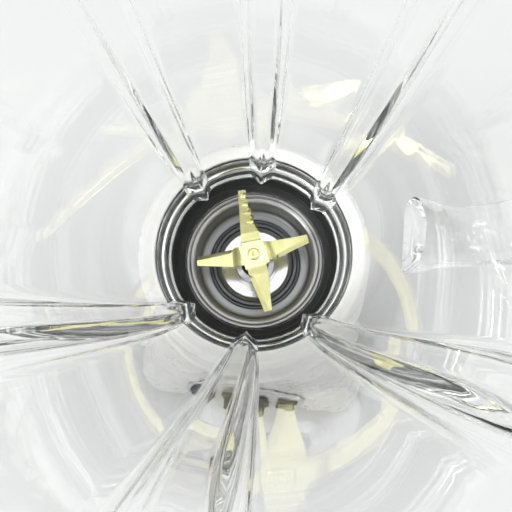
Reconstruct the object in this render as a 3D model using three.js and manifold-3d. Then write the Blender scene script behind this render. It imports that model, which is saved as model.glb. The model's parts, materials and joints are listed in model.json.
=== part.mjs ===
// Countertop blender with a ribbed glass jar and a four-arm cutter. Millimetres, +Z up.
// The jar's axis is the Z axis and the counter is z = 0. The controls face -Y, the handle is at +X
// and the pouring spout at -X.
import * as THREE from 'three';
import { mergeVertices } from 'three/addons/utils/BufferGeometryUtils.js';
import Module from 'manifold-3d';

const wasm = await Module();
wasm.setup();

// ---- Driving dimensions ----
const GAP = 0.3; // between pieces that touch
const FINE = 32; // segments round a large turned piece
const COARSE = 12; // segments round a small one

// Base housing
const BASE_HALF_X = 100;
const BASE_HALF_Y = 106;
const BASE_CORNER = 26;
const SHOULDER_HALF = 76;
const SHOULDER_CORNER = 40;
const DECK_RADIUS = 70;
const WALL = 3;
const FOOT_HEIGHT = 8;
const SKIRT_Z = 14; // where the sloping sides begin
const SHOULDER_Z = 112; // where they end
const DECK_Z = 162;
const WELL_DEPTH = 17;
const FOOT_RADIUS = 11;
const FOOT_X = BASE_HALF_X - 30;
const FOOT_Y = BASE_HALF_Y - 28;
const BOSS_INSET = 15.7; // from the housing's widest sides to the screw bosses
const BOSS_RADIUS = 6;
const BOSS_TOP = 34;
const SCREW_RADIUS = 1.8;
const SCREW_HEAD_RADIUS = 4;
const VENT_WIDTH = 3.6;
const VENT_LENGTH = 64;
const VENT_PITCH = 9;
const VENT_COUNT = 7;
const INLET_Z = 32;
const INLET_RADIUS = 6.5;

// Control panel, measured in its own frame: x to the right, y up the slope, z out of it
const PANEL_Z = 54;
const PANEL_WIDTH = 92;
const PANEL_HEIGHT = 60;
const PANEL_THICKNESS = 2.5;
const PANEL_CORNER = 12;
const KNOB_RADIUS = 19;
const KNOB_DEPTH = 10;
const BUTTON_X = 33;
const BUTTON_Y = 13;
const BUTTON_WIDTH = 15;
const BUTTON_HEIGHT = 11;
const BUTTON_PROUD = 2.8;
const BUTTON_FLANGE = 2; // keeps a button from falling out of its hole

// Motor
const SHAFT_RADIUS = 4;
const MOUNT_HEIGHT = 21;
const MOUNT_RADIUS = 7;
const MOUNT_BORE = 2.5;
const MOUNT_X = 40;
const MOUNT_Y = 20;
const BRACKET_HALF = 48;
const BRACKET_THICKNESS = 4;
const CORE_HALF = 46;
const CORE_CORNER = 14;
const CORE_BORE = 23.8;
const CORE_HEIGHT = 40;
const ROTOR_RADIUS = 22.8;
const POLE_HALF = 16;
const COIL_INNER = 27.6;
const COIL_OUTER = 33;
const COMMUTATOR_RADIUS = 11;
const FAN_RADIUS = 33;
const BEARING_RADIUS = 11;
const BEARING_HEIGHT = 7;
const BOLT_RADIUS = 2.5;
const BOLT_HEAD_RADIUS = 4.5;
const BRUSH_HALF_WIDTH = 3.2;
const BRUSH_HALF_HEIGHT = 3.7;

// Coupling between motor and cutter
const COUPLING_RADIUS = 16;
const COUPLING_LUGS = 4;
const LUG_HEIGHT = 6.5;
const LUG_HALF = 3.2;

// Jar foot: collar, seal, bowl and bearing
const COLLAR_RADIUS = 55.5;
const COLLAR_GRIP_RADIUS = 58.5;
const WELL_CLEARANCE = 1.5;
const COLLAR_THICKNESS = 3;
const GLASS_Z = 202.5; // bottom edge of the glass
const NECK_RADIUS = 47.5; // outside of the glass where the collar grips it
const NECK_HEIGHT = 12;
const NECK_CLEARANCE = 0.6;
const GLASS_BOTTOM_RADIUS = 39.8; // inside of the glass at its bottom edge
const SEAL_THICKNESS = 3;
const BOWL_RIM_RADIUS = 35.3;
const BOWL_RIM_Z = 193.4;
const BOWL_WALL_RADIUS = 30.4;
const BOWL_FLOOR_Z = 178.8;
const BOWL_SHEET = 0.9;
const BOWL_STEP = 1.5; // depth of the bowl's middle below its floor
const BEARING_BODY_RADIUS = 9;
const BUSH_RADIUS = 7.2;
const NUT_RADIUS = 14;
const NUT_HEIGHT = 7;

// Glass jar
const JAR_HEIGHT = 205.5;
const MOUTH_RADIUS = 62;
const FLARE_HEIGHT = 38.4; // how quickly the flare above the foot straightens
const TAPER = 0.05; // outward lean of the upper wall
const GLASS_WALL = 4.4;
const RIB_DEPTH = 6;
const RIB_HALF_ANGLE = 7.5; // degrees
const RIB_FOOT_SHARE = 0.62; // of the rib depth, at the glass's bottom edge
const RIB_BREADTH = 1.6; // how much broader than a V the ribs are above the neck
const RIB_ANGLES = [45, 90, 135, 225, 270, 315];
const RIM_BEAD = 1.3;
const SPOUT_REACH = 9;
const SPOUT_HEIGHT = 26;
const SPOUT_HALF_ANGLE = 16; // degrees
const HANDLE_REACH = 98.5;
const HANDLE_THICKNESS = 13;
const HANDLE_WIDTH = 21;

// Cutter
const HUB_Z = 208; // top of the upper blade at the hub
const BLADE_THICKNESS = 1.8;
const HUB_HALF = 6;
const BEND_LENGTH = 5;
const STUD_RADIUS = 2.8;

// Lid and measuring cap
const LID_RADIUS = MOUTH_RADIUS + 4.5;
const LID_HOLE_RADIUS = 24.2;
const LID_SKIRT_RADIUS = MOUTH_RADIUS - 3.5;
const LID_SKIRT_DEPTH = 11;
const LID_HEIGHT = 13;
const CAP_RADIUS = 21.5;
const CAP_HEIGHT = 17;

// ---- Derived places ----
const PLATE_TOP = FOOT_HEIGHT + WALL;
const BOSS_X = BASE_HALF_X - BOSS_INSET;
const BOSS_Y = BASE_HALF_Y - BOSS_INSET;
const WELL_Z = DECK_Z - WELL_DEPTH;
const WELL_RADIUS = COLLAR_RADIUS + WELL_CLEARANCE;
const PAD_TOP = WELL_Z + GAP + 2.4;
const COLLAR_Z = PAD_TOP + GAP;
const COLLAR_TOP = GLASS_Z + NECK_HEIGHT - 0.5;
const SEAT_Z = GLASS_Z - SEAL_THICKNESS - 0.5; // ledge that carries the seal
const RIM_Z = GLASS_Z + JAR_HEIGHT;
const BRACKET_Z = PLATE_TOP + GAP + MOUNT_HEIGHT + GAP;
const CORE_Z = BRACKET_Z + 34;
const CORE_TOP = CORE_Z + CORE_HEIGHT;
const UPPER_BRACKET_Z = CORE_TOP + 16;
const COUPLING_Z = WELL_Z + 2.5;
const LUG_Z = COUPLING_Z + 3.5;
const DRIVEN_Z = LUG_Z + LUG_HEIGHT + 0.6; // underside of the driven coupling's disc
const BEARING_Z = LUG_Z + LUG_HEIGHT + 4.2;
const BRUSH_Z = BRACKET_Z + 18;
const BOLT_OFFSET = CORE_HALF - 7;
const LOWER_BLADE_Z = HUB_Z - BLADE_THICKNESS - GAP;
const COLLAR_BORE = NECK_RADIUS + NECK_CLEARANCE;
const FUNNEL_RADIUS = BOWL_RIM_RADIUS + 0.9;
const LID_Z = RIM_Z + GAP;
const CAP_Z = LID_Z + LID_HEIGHT + GAP;
const SLOPE = Math.atan2(BASE_HALF_Y - SHOULDER_HALF, SHOULDER_Z - SKIRT_Z);

// ---- Finishes ----
const finish = (color, roughness, metalness = 0, opacity = 1) =>
  new THREE.MeshStandardMaterial({ color, roughness, metalness, opacity, transparent: opacity < 1 });
const housing = finish(0xe8e6e1, 0.3);
const darkPlastic = finish(0x1b1b1d, 0.5);
const rubber = finish(0x141415, 0.9);
const steel = finish(0xb9bbbd, 0.25, 1);
const goldBlade = finish(0xe6dca0, 0.3, 1);
const glass = finish(0xf4f7f7, 0.05, 0, 0.35);
const laminations = finish(0x6e7073, 0.5, 1);
const copper = finish(0xb06a3a, 0.35, 1);
const aluminium = finish(0xa9acaf, 0.4, 1);
const board = finish(0x2f5a3c, 0.6);
const carbon = finish(0x2a2a2b, 0.8);

// ---- Geometry helpers ----

/** Positions and triangles with shared vertices merged and collapsed triangles left out. */
function weld(geometry) {
  const bare = geometry.index ? geometry.toNonIndexed() : geometry.clone();
  bare.deleteAttribute('normal');
  bare.deleteAttribute('uv');
  const merged = mergeVertices(bare, 1e-4);
  const index = merged.index.array;
  const triVerts = [];
  for (let i = 0; i < index.length; i += 3) {
    const [a, b, c] = [index[i], index[i + 1], index[i + 2]];
    if (a !== b && b !== c && c !== a) triVerts.push(a, b, c);
  }
  const vertProperties = Float32Array.from(merged.attributes.position.array);
  return { numProp: 3, vertProperties, triVerts: Uint32Array.from(triVerts) };
}

/** A closed geometry as a solid that can be joined and cut. */
function solid(geometry) {
  return new wasm.Manifold(new wasm.Mesh(weld(geometry)));
}

/** A solid as a geometry again. */
function shapeOf(body) {
  const mesh = body.getMesh();
  const geometry = new THREE.BufferGeometry();
  geometry.setAttribute('position', new THREE.BufferAttribute(mesh.vertProperties, 3));
  geometry.setIndex(new THREE.BufferAttribute(mesh.triVerts, 1));
  return geometry;
}

/** The first solid with all the others joined on. */
function join(first, ...others) {
  return others.reduce((whole, other) => whole.add(other), first);
}

/** The first solid with all the others cut away. */
function cut(first, ...others) {
  return others.reduce((whole, other) => whole.subtract(other), first);
}

/** A solid turned about Z from a closed outline of [radius, height] points. */
function turned(outline, segments = FINE) {
  const points = outline.map(([radius, height]) => new THREE.Vector2(radius, height));
  if (THREE.ShapeUtils.isClockWise(points)) points.reverse();
  points.push(points[0].clone());
  const geometry = new THREE.LatheGeometry(points, segments);
  geometry.rotateX(Math.PI / 2);
  return solid(geometry);
}

/** An upright cylinder. */
function rod(radius, bottom, top, segments = COARSE, x = 0, y = 0) {
  const geometry = new THREE.CylinderGeometry(radius, radius, top - bottom, segments);
  geometry.rotateX(Math.PI / 2);
  geometry.translate(x, y, (bottom + top) / 2);
  return solid(geometry);
}

/** An upright ring. */
function ring(inner, outer, bottom, top, segments = FINE) {
  return turned([[inner, bottom], [outer, bottom], [outer, top], [inner, top]], segments);
}

/** A box between two corners. */
function block(low, high) {
  const size = high.map((value, axis) => value - low[axis]);
  const geometry = new THREE.BoxGeometry(...size);
  geometry.translate(...low.map((value, axis) => value + size[axis] / 2));
  return solid(geometry);
}

/** A box on the +X side (side 1) or the -X side (side -1), between two distances from the axis. */
function sideBlock(side, near, far, halfWidth, bottom, top) {
  const [from, to] = side > 0 ? [near, far] : [-far, -near];
  return block([from, -halfWidth, bottom], [to, halfWidth, top]);
}

/** The points of a rounded rectangle, anticlockwise from above, at one height. */
function roundedRing(halfX, halfY, corner, z, perCorner = 3) {
  const points = [];
  for (let quarter = 0; quarter < 4; quarter++) {
    const centreX = (quarter === 0 || quarter === 3 ? 1 : -1) * (halfX - corner);
    const centreY = (quarter < 2 ? 1 : -1) * (halfY - corner);
    for (let step = 0; step <= perCorner; step++) {
      const angle = (quarter + step / perCorner) * (Math.PI / 2);
      const x = centreX + corner * Math.cos(angle);
      const y = centreY + corner * Math.sin(angle);
      points.push(new THREE.Vector3(x, y, z));
    }
  }
  return points;
}

/** A skin through equal rings of points: closed by end faces, or joined end to start as a hoop. */
function loft(rings, hoop = false) {
  const count = rings[0].length;
  const positions = rings.flat().flatMap((point) => [point.x, point.y, point.z]);
  const index = [];
  const last = hoop ? rings.length : rings.length - 1;
  for (let i = 0; i < last; i++) {
    const near = i * count;
    const far = ((i + 1) % rings.length) * count;
    for (let j = 0; j < count; j++) {
      const next = (j + 1) % count;
      index.push(near + j, near + next, far + next, near + j, far + next, far + j);
    }
  }
  const end = (rings.length - 1) * count;
  for (let j = 1; !hoop && j < count - 1; j++) {
    index.push(0, j + 1, j, end, end + j, end + j + 1);
  }
  const geometry = new THREE.BufferGeometry();
  geometry.setAttribute('position', new THREE.Float32BufferAttribute(positions, 3));
  geometry.setIndex(index);
  return solid(geometry);
}

/** An upright plate with a rounded outline. */
function plate(halfX, halfY, corner, bottom, top, perCorner = 3) {
  return loft([
    roundedRing(halfX, halfY, corner, bottom, perCorner),
    roundedRing(halfX, halfY, corner, top, perCorner),
  ]);
}

/** A solid moved by a matrix. */
function placed(body, matrix) {
  const geometry = shapeOf(body);
  geometry.applyMatrix4(matrix);
  return solid(geometry);
}

/** A solid turned about Z by an angle in degrees. */
function spun(body, degrees) {
  return placed(body, new THREE.Matrix4().makeRotationZ(THREE.MathUtils.degToRad(degrees)));
}

/** Half width, half depth and corner radius of the sloping part of the housing at a height. */
function housingAt(z) {
  const share = (z - SKIRT_Z) / (SHOULDER_Z - SKIRT_Z);
  return [
    BASE_HALF_X + share * (SHOULDER_HALF - BASE_HALF_X),
    BASE_HALF_Y + share * (SHOULDER_HALF - BASE_HALF_Y),
    BASE_CORNER + share * (SHOULDER_CORNER - BASE_CORNER),
  ];
}

/** The frame of a sloping face: x to its right, y up the slope and z out of it. */
function faceFrame(z, side) {
  const y = side * housingAt(z)[1];
  const up = new THREE.Vector3(0, -side * Math.sin(SLOPE), Math.cos(SLOPE));
  const out = new THREE.Vector3(0, side * Math.cos(SLOPE), Math.sin(SLOPE));
  const right = up.clone().cross(out);
  return new THREE.Matrix4().makeBasis(right, up, out).setPosition(0, y, z);
}

const PANEL_FRAME = faceFrame(PANEL_Z, -1);
const REAR_FRAME = faceFrame(INLET_Z, 1);
const CORNERS = [[1, 1], [-1, 1], [-1, -1], [1, -1]];
const BUTTONS = [
  ['pulse_button', -1, -1],
  ['ice_button', -1, 1],
  ['low_button', 1, 1],
  ['high_button', 1, -1],
];

// ---- Base ----

/** The housing's outside, or its inside when inset by the wall. */
function housingLoft(inset, bottom, top) {
  const shrink = ([halfX, halfY, corner], z) =>
    roundedRing(halfX - inset, halfY - inset, corner - inset, z);
  const skirt = [BASE_HALF_X - 2, BASE_HALF_Y - 2, BASE_CORNER - 2];
  const neck = [DECK_RADIUS + 3, DECK_RADIUS + 3, DECK_RADIUS - 12];
  const deck = [DECK_RADIUS + 0.5, DECK_RADIUS + 0.5, DECK_RADIUS];
  return loft([
    shrink(skirt, bottom),
    shrink(housingAt(SKIRT_Z), SKIRT_Z),
    shrink(housingAt(SHOULDER_Z), SHOULDER_Z),
    shrink(neck, DECK_Z - 24),
    shrink(deck, top - 2),
    shrink(deck.map((size) => size - 2), top),
  ]);
}

/** Holes in the front for the knob shaft and the buttons, in the panel's frame. */
function panelHoles() {
  const holes = [rod(SHAFT_RADIUS + 0.5, -20, 20)];
  for (const [, sideX, sideY] of BUTTONS) {
    const x = sideX * BUTTON_X;
    const y = sideY * BUTTON_Y;
    const halfWidth = BUTTON_WIDTH / 2 + 0.5;
    const halfHeight = BUTTON_HEIGHT / 2 + 0.5;
    holes.push(block([x - halfWidth, y - halfHeight, -20], [x + halfWidth, y + halfHeight, 20]));
  }
  return holes;
}

function baseShell() {
  const outside = housingLoft(0, FOOT_HEIGHT, DECK_Z);
  const inside = housingLoft(WALL, FOOT_HEIGHT - 1, DECK_Z - WALL);
  const mouth = rod(WELL_RADIUS + WALL + GAP, WELL_Z, DECK_Z + 1, FINE);
  const bosses = CORNERS.map(([sideX, sideY]) =>
    rod(BOSS_RADIUS, PLATE_TOP + GAP, BOSS_TOP, COARSE, sideX * BOSS_X, sideY * BOSS_Y));
  const bossHoles = CORNERS.map(([sideX, sideY]) =>
    rod(SCREW_RADIUS + GAP, 0, BOSS_TOP - 6, 10, sideX * BOSS_X, sideY * BOSS_Y));
  const shell = join(cut(outside, inside), ...bosses).intersect(outside);
  const front = panelHoles().map((hole) => placed(hole, PANEL_FRAME));
  const inlet = placed(rod(INLET_RADIUS + GAP, -20, 20), REAR_FRAME);
  return cut(shell, mouth, inlet, ...bossHoles, ...front, ...rearVents());
}

/** The cup in the housing's mouth that the jar's collar stands in. The coupling comes up through it. */
function jarSeat() {
  const hole = COUPLING_RADIUS + 2;
  return turned([
    [hole, WELL_Z - WALL], [WELL_RADIUS + WALL, WELL_Z - WALL], [WELL_RADIUS + WALL, DECK_Z],
    [WELL_RADIUS, DECK_Z], [WELL_RADIUS, WELL_Z], [hole, WELL_Z],
  ]);
}

/** Slots low in the housing's back that let the cooling air out. */
function rearVents() {
  const frame = faceFrame(SHOULDER_Z - 30, 1);
  const slots = [];
  for (let i = -3; i <= 3; i++) {
    const x = i * VENT_PITCH;
    slots.push(placed(block([x - VENT_WIDTH / 2, -12, -10], [x + VENT_WIDTH / 2, 12, 10]), frame));
  }
  return slots;
}

function basePlate() {
  const inset = WALL + GAP + 2;
  const [halfX, halfY, corner] = [BASE_HALF_X - inset, BASE_HALF_Y - inset, BASE_CORNER - inset];
  const slots = [];
  for (let i = 0; i < VENT_COUNT; i++) {
    const x = (i - (VENT_COUNT - 1) / 2) * VENT_PITCH;
    const half = VENT_LENGTH / 2;
    slots.push(block([x - VENT_WIDTH / 2, -half, 0], [x + VENT_WIDTH / 2, half, PLATE_TOP + 1]));
  }
  const screwHoles = CORNERS.flatMap(([sideX, sideY]) => [
    rod(SCREW_HEAD_RADIUS + GAP, 0, FOOT_HEIGHT + 1.4, 12, sideX * BOSS_X, sideY * BOSS_Y),
    rod(SCREW_RADIUS + GAP, 0, PLATE_TOP + 1, 10, sideX * BOSS_X, sideY * BOSS_Y),
  ]);
  return cut(plate(halfX, halfY, corner, FOOT_HEIGHT, PLATE_TOP), ...slots, ...screwHoles);
}

function foot() {
  const top = FOOT_HEIGHT - GAP;
  return turned([[0, 0], [FOOT_RADIUS - 1.5, 0], [FOOT_RADIUS, 1.5], [FOOT_RADIUS, top], [0, top]],
    COARSE);
}

function baseScrew() {
  const head = FOOT_HEIGHT + 1.1;
  return turned([
    [0, FOOT_HEIGHT + 0.1], [SCREW_HEAD_RADIUS, FOOT_HEIGHT + 0.1], [SCREW_HEAD_RADIUS, head],
    [SCREW_RADIUS, head], [SCREW_RADIUS, BOSS_TOP - 8], [0, BOSS_TOP - 8],
  ], 12);
}

function seatPad() {
  return ring(COUPLING_RADIUS + 6, WELL_RADIUS - 0.5, WELL_Z + GAP, PAD_TOP);
}

/** The cord's bushing. Its hollow is where a cord would pass. */
function cordInlet() {
  const inside = -WALL - 5;
  return turned([
    [3.6, inside], [INLET_RADIUS, inside], [INLET_RADIUS, GAP], [INLET_RADIUS + 4, GAP],
    [INLET_RADIUS + 3, 3], [3.6, 4],
  ], COARSE);
}

// ---- Controls, in the panel's frame ----

function controlPanel() {
  const sheet = plate(PANEL_WIDTH / 2, PANEL_HEIGHT / 2, PANEL_CORNER, GAP, GAP + PANEL_THICKNESS);
  return cut(sheet, ...panelHoles());
}

function speedKnob() {
  const face = GAP + PANEL_THICKNESS + GAP;
  const top = face + KNOB_DEPTH;
  const body = turned([
    [0, face], [KNOB_RADIUS, face], [KNOB_RADIUS, face + 2], [KNOB_RADIUS - 2.5, top - 1.5],
    [KNOB_RADIUS - 4, top], [0, top],
  ], 32);
  const bore = rod(SHAFT_RADIUS - 0.7, face - 1, top - 4);
  const pointer = block([-1, KNOB_RADIUS - 10, top - 0.5], [1, KNOB_RADIUS - 4.5, top + 0.6]);
  return join(cut(body, bore), pointer);
}

function switchShaft() {
  return rod(SHAFT_RADIUS - 1, -14, GAP + PANEL_THICKNESS + GAP + KNOB_DEPTH - 4 - GAP);
}

function speedSwitch() {
  return cut(plate(11, 11, 3, -17, -5, 2), rod(SHAFT_RADIUS - 0.7, -14 - GAP, 0));
}

function controlBoard() {
  const sheet = plate(44, 26, 3, -13.4, -11.8, 2);
  return cut(sheet, block([-12, -12, -20], [12, 12, 0]));
}

function button() {
  const top = GAP + PANEL_THICKNESS + BUTTON_PROUD;
  const inside = -WALL - 0.5;
  const cap = plate(BUTTON_WIDTH / 2, BUTTON_HEIGHT / 2, 2.5, inside - 1, top, 3);
  const halfWidth = BUTTON_WIDTH / 2 + BUTTON_FLANGE;
  const halfHeight = BUTTON_HEIGHT / 2 + BUTTON_FLANGE;
  return join(cap, plate(halfWidth, halfHeight, 1.5, inside - 2.5, inside, 1));
}

// ---- Motor ----

/** A square bracket with a cup in its middle that holds a bearing. */
function bracket(bottom, cupBottom, cupTop) {
  const sheet = plate(BRACKET_HALF, BRACKET_HALF, CORE_CORNER, bottom, bottom + BRACKET_THICKNESS);
  const cup = rod(BEARING_RADIUS + WALL, cupBottom, cupTop, 24);
  const windows = [0, 90, 180, 270].map((angle) =>
    spun(block([BEARING_RADIUS + 7, -14, bottom - 1], [36, 14, bottom + 6]), angle));
  return cut(join(sheet, cup), ...windows, ...boltHoles(bottom - 1, bottom + 6));
}

function lowerBracket() {
  const whole = bracket(BRACKET_Z, BRACKET_Z, BRACKET_Z + 9);
  const seat = rod(BEARING_RADIUS + GAP, BRACKET_Z + 1.7, BRACKET_Z + 20, 24);
  return cut(whole, seat, rod(SHAFT_RADIUS + 1, 0, DECK_Z));
}

function upperBracket() {
  const whole = bracket(UPPER_BRACKET_Z, UPPER_BRACKET_Z - 5, UPPER_BRACKET_Z + BRACKET_THICKNESS);
  const seat = rod(BEARING_RADIUS + GAP, UPPER_BRACKET_Z - 20, UPPER_BRACKET_Z + 2.3, 24);
  return cut(whole, seat, rod(SHAFT_RADIUS + 1, 0, DECK_Z));
}

function bearing(bottom) {
  return ring(SHAFT_RADIUS + GAP, BEARING_RADIUS, bottom, bottom + BEARING_HEIGHT, 16);
}

const BOLT_PLACES = [[1, 1], [-1, -1]];

function boltHoles(bottom, top) {
  return BOLT_PLACES.map(([sideX, sideY]) =>
    rod(BOLT_RADIUS + GAP, bottom, top, 12, sideX * BOLT_OFFSET, sideY * BOLT_OFFSET));
}

/** A long bolt with its spacers, which ties the brackets and the core together. */
function motorBolt() {
  const top = UPPER_BRACKET_Z + BRACKET_THICKNESS;
  const lowSpacer = [BRACKET_Z + BRACKET_THICKNESS + GAP, CORE_Z - GAP];
  const highSpacer = [CORE_TOP + GAP, UPPER_BRACKET_Z - GAP];
  const outline = [[0, BRACKET_Z - 4], [BOLT_HEAD_RADIUS, BRACKET_Z - 4]];
  for (const [near, far] of [[BRACKET_Z - GAP, lowSpacer[0]], [lowSpacer[1], highSpacer[0]],
    [highSpacer[1], top + GAP]]) {
    outline.push([BOLT_HEAD_RADIUS, near], [BOLT_RADIUS, near], [BOLT_RADIUS, far]);
    outline.push([BOLT_HEAD_RADIUS, far]);
  }
  return turned([...outline, [BOLT_HEAD_RADIUS, top + 4], [0, top + 4]], 8);
}

function rubberMount() {
  return ring(MOUNT_BORE, MOUNT_RADIUS, PLATE_TOP + GAP, PLATE_TOP + GAP + MOUNT_HEIGHT, 10);
}

/** The laminated core: a yoke with two poles whose shoes face the rotor. */
function statorCore() {
  const outer = plate(CORE_HALF, CORE_HALF, CORE_CORNER, CORE_Z, CORE_TOP);
  const window = rod(41, CORE_Z - 1, CORE_TOP + 1, 32);
  const poles = [-1, 1].flatMap((side) => [
    sideBlock(side, 25, 43, POLE_HALF, CORE_Z, CORE_TOP),
    sideBlock(side, 12, COIL_INNER - 0.6, POLE_HALF + 5, CORE_Z, CORE_TOP),
  ]);
  const bore = rod(CORE_BORE, CORE_Z - 1, CORE_TOP + 1, 32);
  return cut(join(cut(outer, window), ...poles), bore, ...boltHoles(CORE_Z - 1, CORE_TOP + 1));
}

/** One winding: a flat hoop round a pole. */
function fieldCoil(side) {
  const outside = sideBlock(side, COIL_INNER, COIL_OUTER, POLE_HALF + 6.5, CORE_Z - 8, CORE_TOP + 8);
  const hole = sideBlock(side, COIL_INNER - 1, COIL_OUTER + 1, POLE_HALF + 0.6, CORE_Z - 0.6,
    CORE_TOP + 0.6);
  return cut(outside, hole);
}

function brushHolder(side) {
  const body = sideBlock(side, 15, 34, 5.5, BRUSH_Z - 6, BRUSH_Z + 6);
  const leg = sideBlock(side, 19, 31, 5.5, BRACKET_Z + BRACKET_THICKNESS + GAP, BRUSH_Z - 5);
  const halfHeight = BRUSH_HALF_HEIGHT + 0.4;
  const guide = sideBlock(side, 14, 35, BRUSH_HALF_WIDTH + 0.4, BRUSH_Z - halfHeight,
    BRUSH_Z + halfHeight);
  return cut(join(body, leg), guide);
}

function carbonBrush(side) {
  return sideBlock(side, COMMUTATOR_RADIUS + GAP, COMMUTATOR_RADIUS + 20, BRUSH_HALF_WIDTH,
    BRUSH_Z - BRUSH_HALF_HEIGHT, BRUSH_Z + BRUSH_HALF_HEIGHT);
}

function motorShaft() {
  return rod(SHAFT_RADIUS, PLATE_TOP + 2.5, COUPLING_Z + 2.2);
}

function rotorCore() {
  const slots = [];
  for (let i = 0; i < 8; i++) {
    slots.push(spun(block([ROTOR_RADIUS - 5, -0.9, CORE_Z - 1], [30, 0.9, CORE_TOP + 1]), i * 45));
  }
  const windings = turned([
    [9, CORE_Z - 9], [17, CORE_Z - 9], [19, CORE_Z - 1], [19, CORE_TOP + 1], [17, CORE_TOP + 9],
    [9, CORE_TOP + 9],
  ], 24);
  const core = cut(rod(ROTOR_RADIUS, CORE_Z, CORE_TOP, 24), ...slots);
  return cut(join(core, windings), rod(SHAFT_RADIUS + GAP, 0, DECK_Z));
}

function commutator() {
  const bottom = BRUSH_Z - 7;
  return ring(SHAFT_RADIUS + GAP, COMMUTATOR_RADIUS, bottom, bottom + 14, 16);
}

function coolingFan() {
  const bottom = PLATE_TOP + 4;
  const blades = [];
  for (let i = 0; i < 9; i++) {
    blades.push(spun(block([8, -0.8, bottom + 1], [FAN_RADIUS - 1, 0.8, bottom + 11]), i * 40));
  }
  const disc = rod(FAN_RADIUS, bottom, bottom + 1.6, 24);
  const hub = rod(9, bottom, bottom + 11);
  return cut(join(disc, hub, ...blades), rod(SHAFT_RADIUS + GAP, 0, DECK_Z));
}

/** A disc with lugs. The lugs of the two coupling halves stand in each other's gaps. */
function coupling(discBottom, discTop, lugBottom, lugTop, turn) {
  const lugs = [];
  for (let i = 0; i < COUPLING_LUGS; i++) {
    const lug = block([8, -LUG_HALF, lugBottom], [COUPLING_RADIUS - 1, LUG_HALF, lugTop]);
    lugs.push(spun(lug, turn + (i * 360) / COUPLING_LUGS));
  }
  return join(rod(COUPLING_RADIUS, discBottom, discTop, 24), ...lugs);
}

function driveCoupling() {
  const whole = coupling(COUPLING_Z, LUG_Z, LUG_Z - 1, LUG_Z + LUG_HEIGHT, 0);
  return cut(whole, rod(SHAFT_RADIUS + GAP, COUPLING_Z - 1, COUPLING_Z + 2.5));
}

// ---- Jar foot ----

/** The collar: it carries the bowl on a ledge and the seal on another, and grips the glass's neck. */
function jarCollar() {
  const ledge = BOWL_RIM_Z - 3;
  const throat = BOWL_WALL_RADIUS + 1.5;
  return turned([
    [COLLAR_RADIUS - COLLAR_THICKNESS, COLLAR_Z], [COLLAR_RADIUS, COLLAR_Z],
    [COLLAR_RADIUS, DECK_Z + 3], [COLLAR_GRIP_RADIUS, DECK_Z + 7],
    [COLLAR_GRIP_RADIUS, COLLAR_TOP - 5], [COLLAR_GRIP_RADIUS - 4, COLLAR_TOP],
    [COLLAR_BORE, COLLAR_TOP], [COLLAR_BORE, SEAT_Z], [FUNNEL_RADIUS + 6.1, SEAT_Z],
    [FUNNEL_RADIUS + 2.3, BOWL_RIM_Z], [FUNNEL_RADIUS, BOWL_RIM_Z], [FUNNEL_RADIUS, ledge],
    [throat, ledge], [throat, ledge - 3], [FUNNEL_RADIUS + 2.3, ledge - 3],
    [FUNNEL_RADIUS + 5, SEAT_Z - 4], [COLLAR_RADIUS - COLLAR_THICKNESS, SEAT_Z - 4],
  ]);
}

/** The seal: flat under the glass, with a funnel-shaped lip down to the bowl's rim. */
function jarSeal() {
  const inner = GLASS_BOTTOM_RADIUS + GAP;
  const lip = BOWL_RIM_Z + GAP;
  return turned([
    [BOWL_RIM_RADIUS + 0.1, lip], [FUNNEL_RADIUS + 2, lip], [FUNNEL_RADIUS + 5.8, SEAT_Z + GAP],
    [NECK_RADIUS, SEAT_Z + GAP], [NECK_RADIUS, GLASS_Z - GAP], [inner, GLASS_Z - GAP],
    [inner, GLASS_Z - 1.5], [BOWL_RIM_RADIUS + 0.1, lip + 0.8],
  ]);
}

/** The stepped steel bowl with a rolled rim. */
function cutterBowl() {
  const floor = BOWL_FLOOR_Z;
  const under = floor - BOWL_SHEET;
  const rim = BOWL_RIM_Z;
  const wall = BOWL_WALL_RADIUS;
  const hole = BEARING_BODY_RADIUS + 0.4;
  return turned([
    [hole, floor - BOWL_STEP], [18.7, floor - BOWL_STEP], [20.3, floor - 0.2], [23, floor + 0.2],
    [23.9, floor - 0.6], [24.7, floor], [wall - 1.8, floor], [wall - 0.4, floor + 1.4],
    [wall, rim - 3.4], [wall + 1.2, rim - 0.8], [BOWL_RIM_RADIUS - 2.3, rim],
    [BOWL_RIM_RADIUS - 0.3, rim - 0.2], [BOWL_RIM_RADIUS, rim - 1.4],
    [BOWL_RIM_RADIUS - 0.4, rim - 2.6], [wall + 2, rim - 2.6], [wall + 0.8, rim - 3.4],
    [wall + 0.4, floor + 0.8], [wall - 1.2, under], [24.2, under], [23.4, under - 0.6],
    [20.8, under - 0.2], [19.2, under - BOWL_STEP], [hole, under - BOWL_STEP],
  ]);
}

function bearingHousing() {
  const floor = BOWL_FLOOR_Z - BOWL_STEP;
  const bore = BUSH_RADIUS + GAP;
  return turned([
    [bore, BEARING_Z], [BEARING_BODY_RADIUS, BEARING_Z], [BEARING_BODY_RADIUS, floor + GAP],
    [BEARING_BODY_RADIUS + 1.5, floor + GAP], [BEARING_BODY_RADIUS + 1.2, floor + 1.8],
    [bore, floor + 2.6],
  ], 32);
}

function bush(bottom, top) {
  return ring(SHAFT_RADIUS + GAP, BUSH_RADIUS, bottom, top, 16);
}

function retainingNut() {
  const top = BOWL_FLOOR_Z - BOWL_STEP - BOWL_SHEET - GAP;
  return cut(rod(NUT_RADIUS, top - NUT_HEIGHT, top, 6), rod(BEARING_BODY_RADIUS + GAP, 0, DECK_Z * 2, 32));
}

// ---- Glass jar ----

/** The inside radius between ribs, at a height above the glass's bottom edge. */
function insideRadius(height) {
  const flare = MOUTH_RADIUS - GLASS_BOTTOM_RADIUS - TAPER * JAR_HEIGHT;
  return GLASS_BOTTOM_RADIUS + flare * (1 - Math.exp(-height / FLARE_HEIGHT)) + TAPER * height;
}

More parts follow.
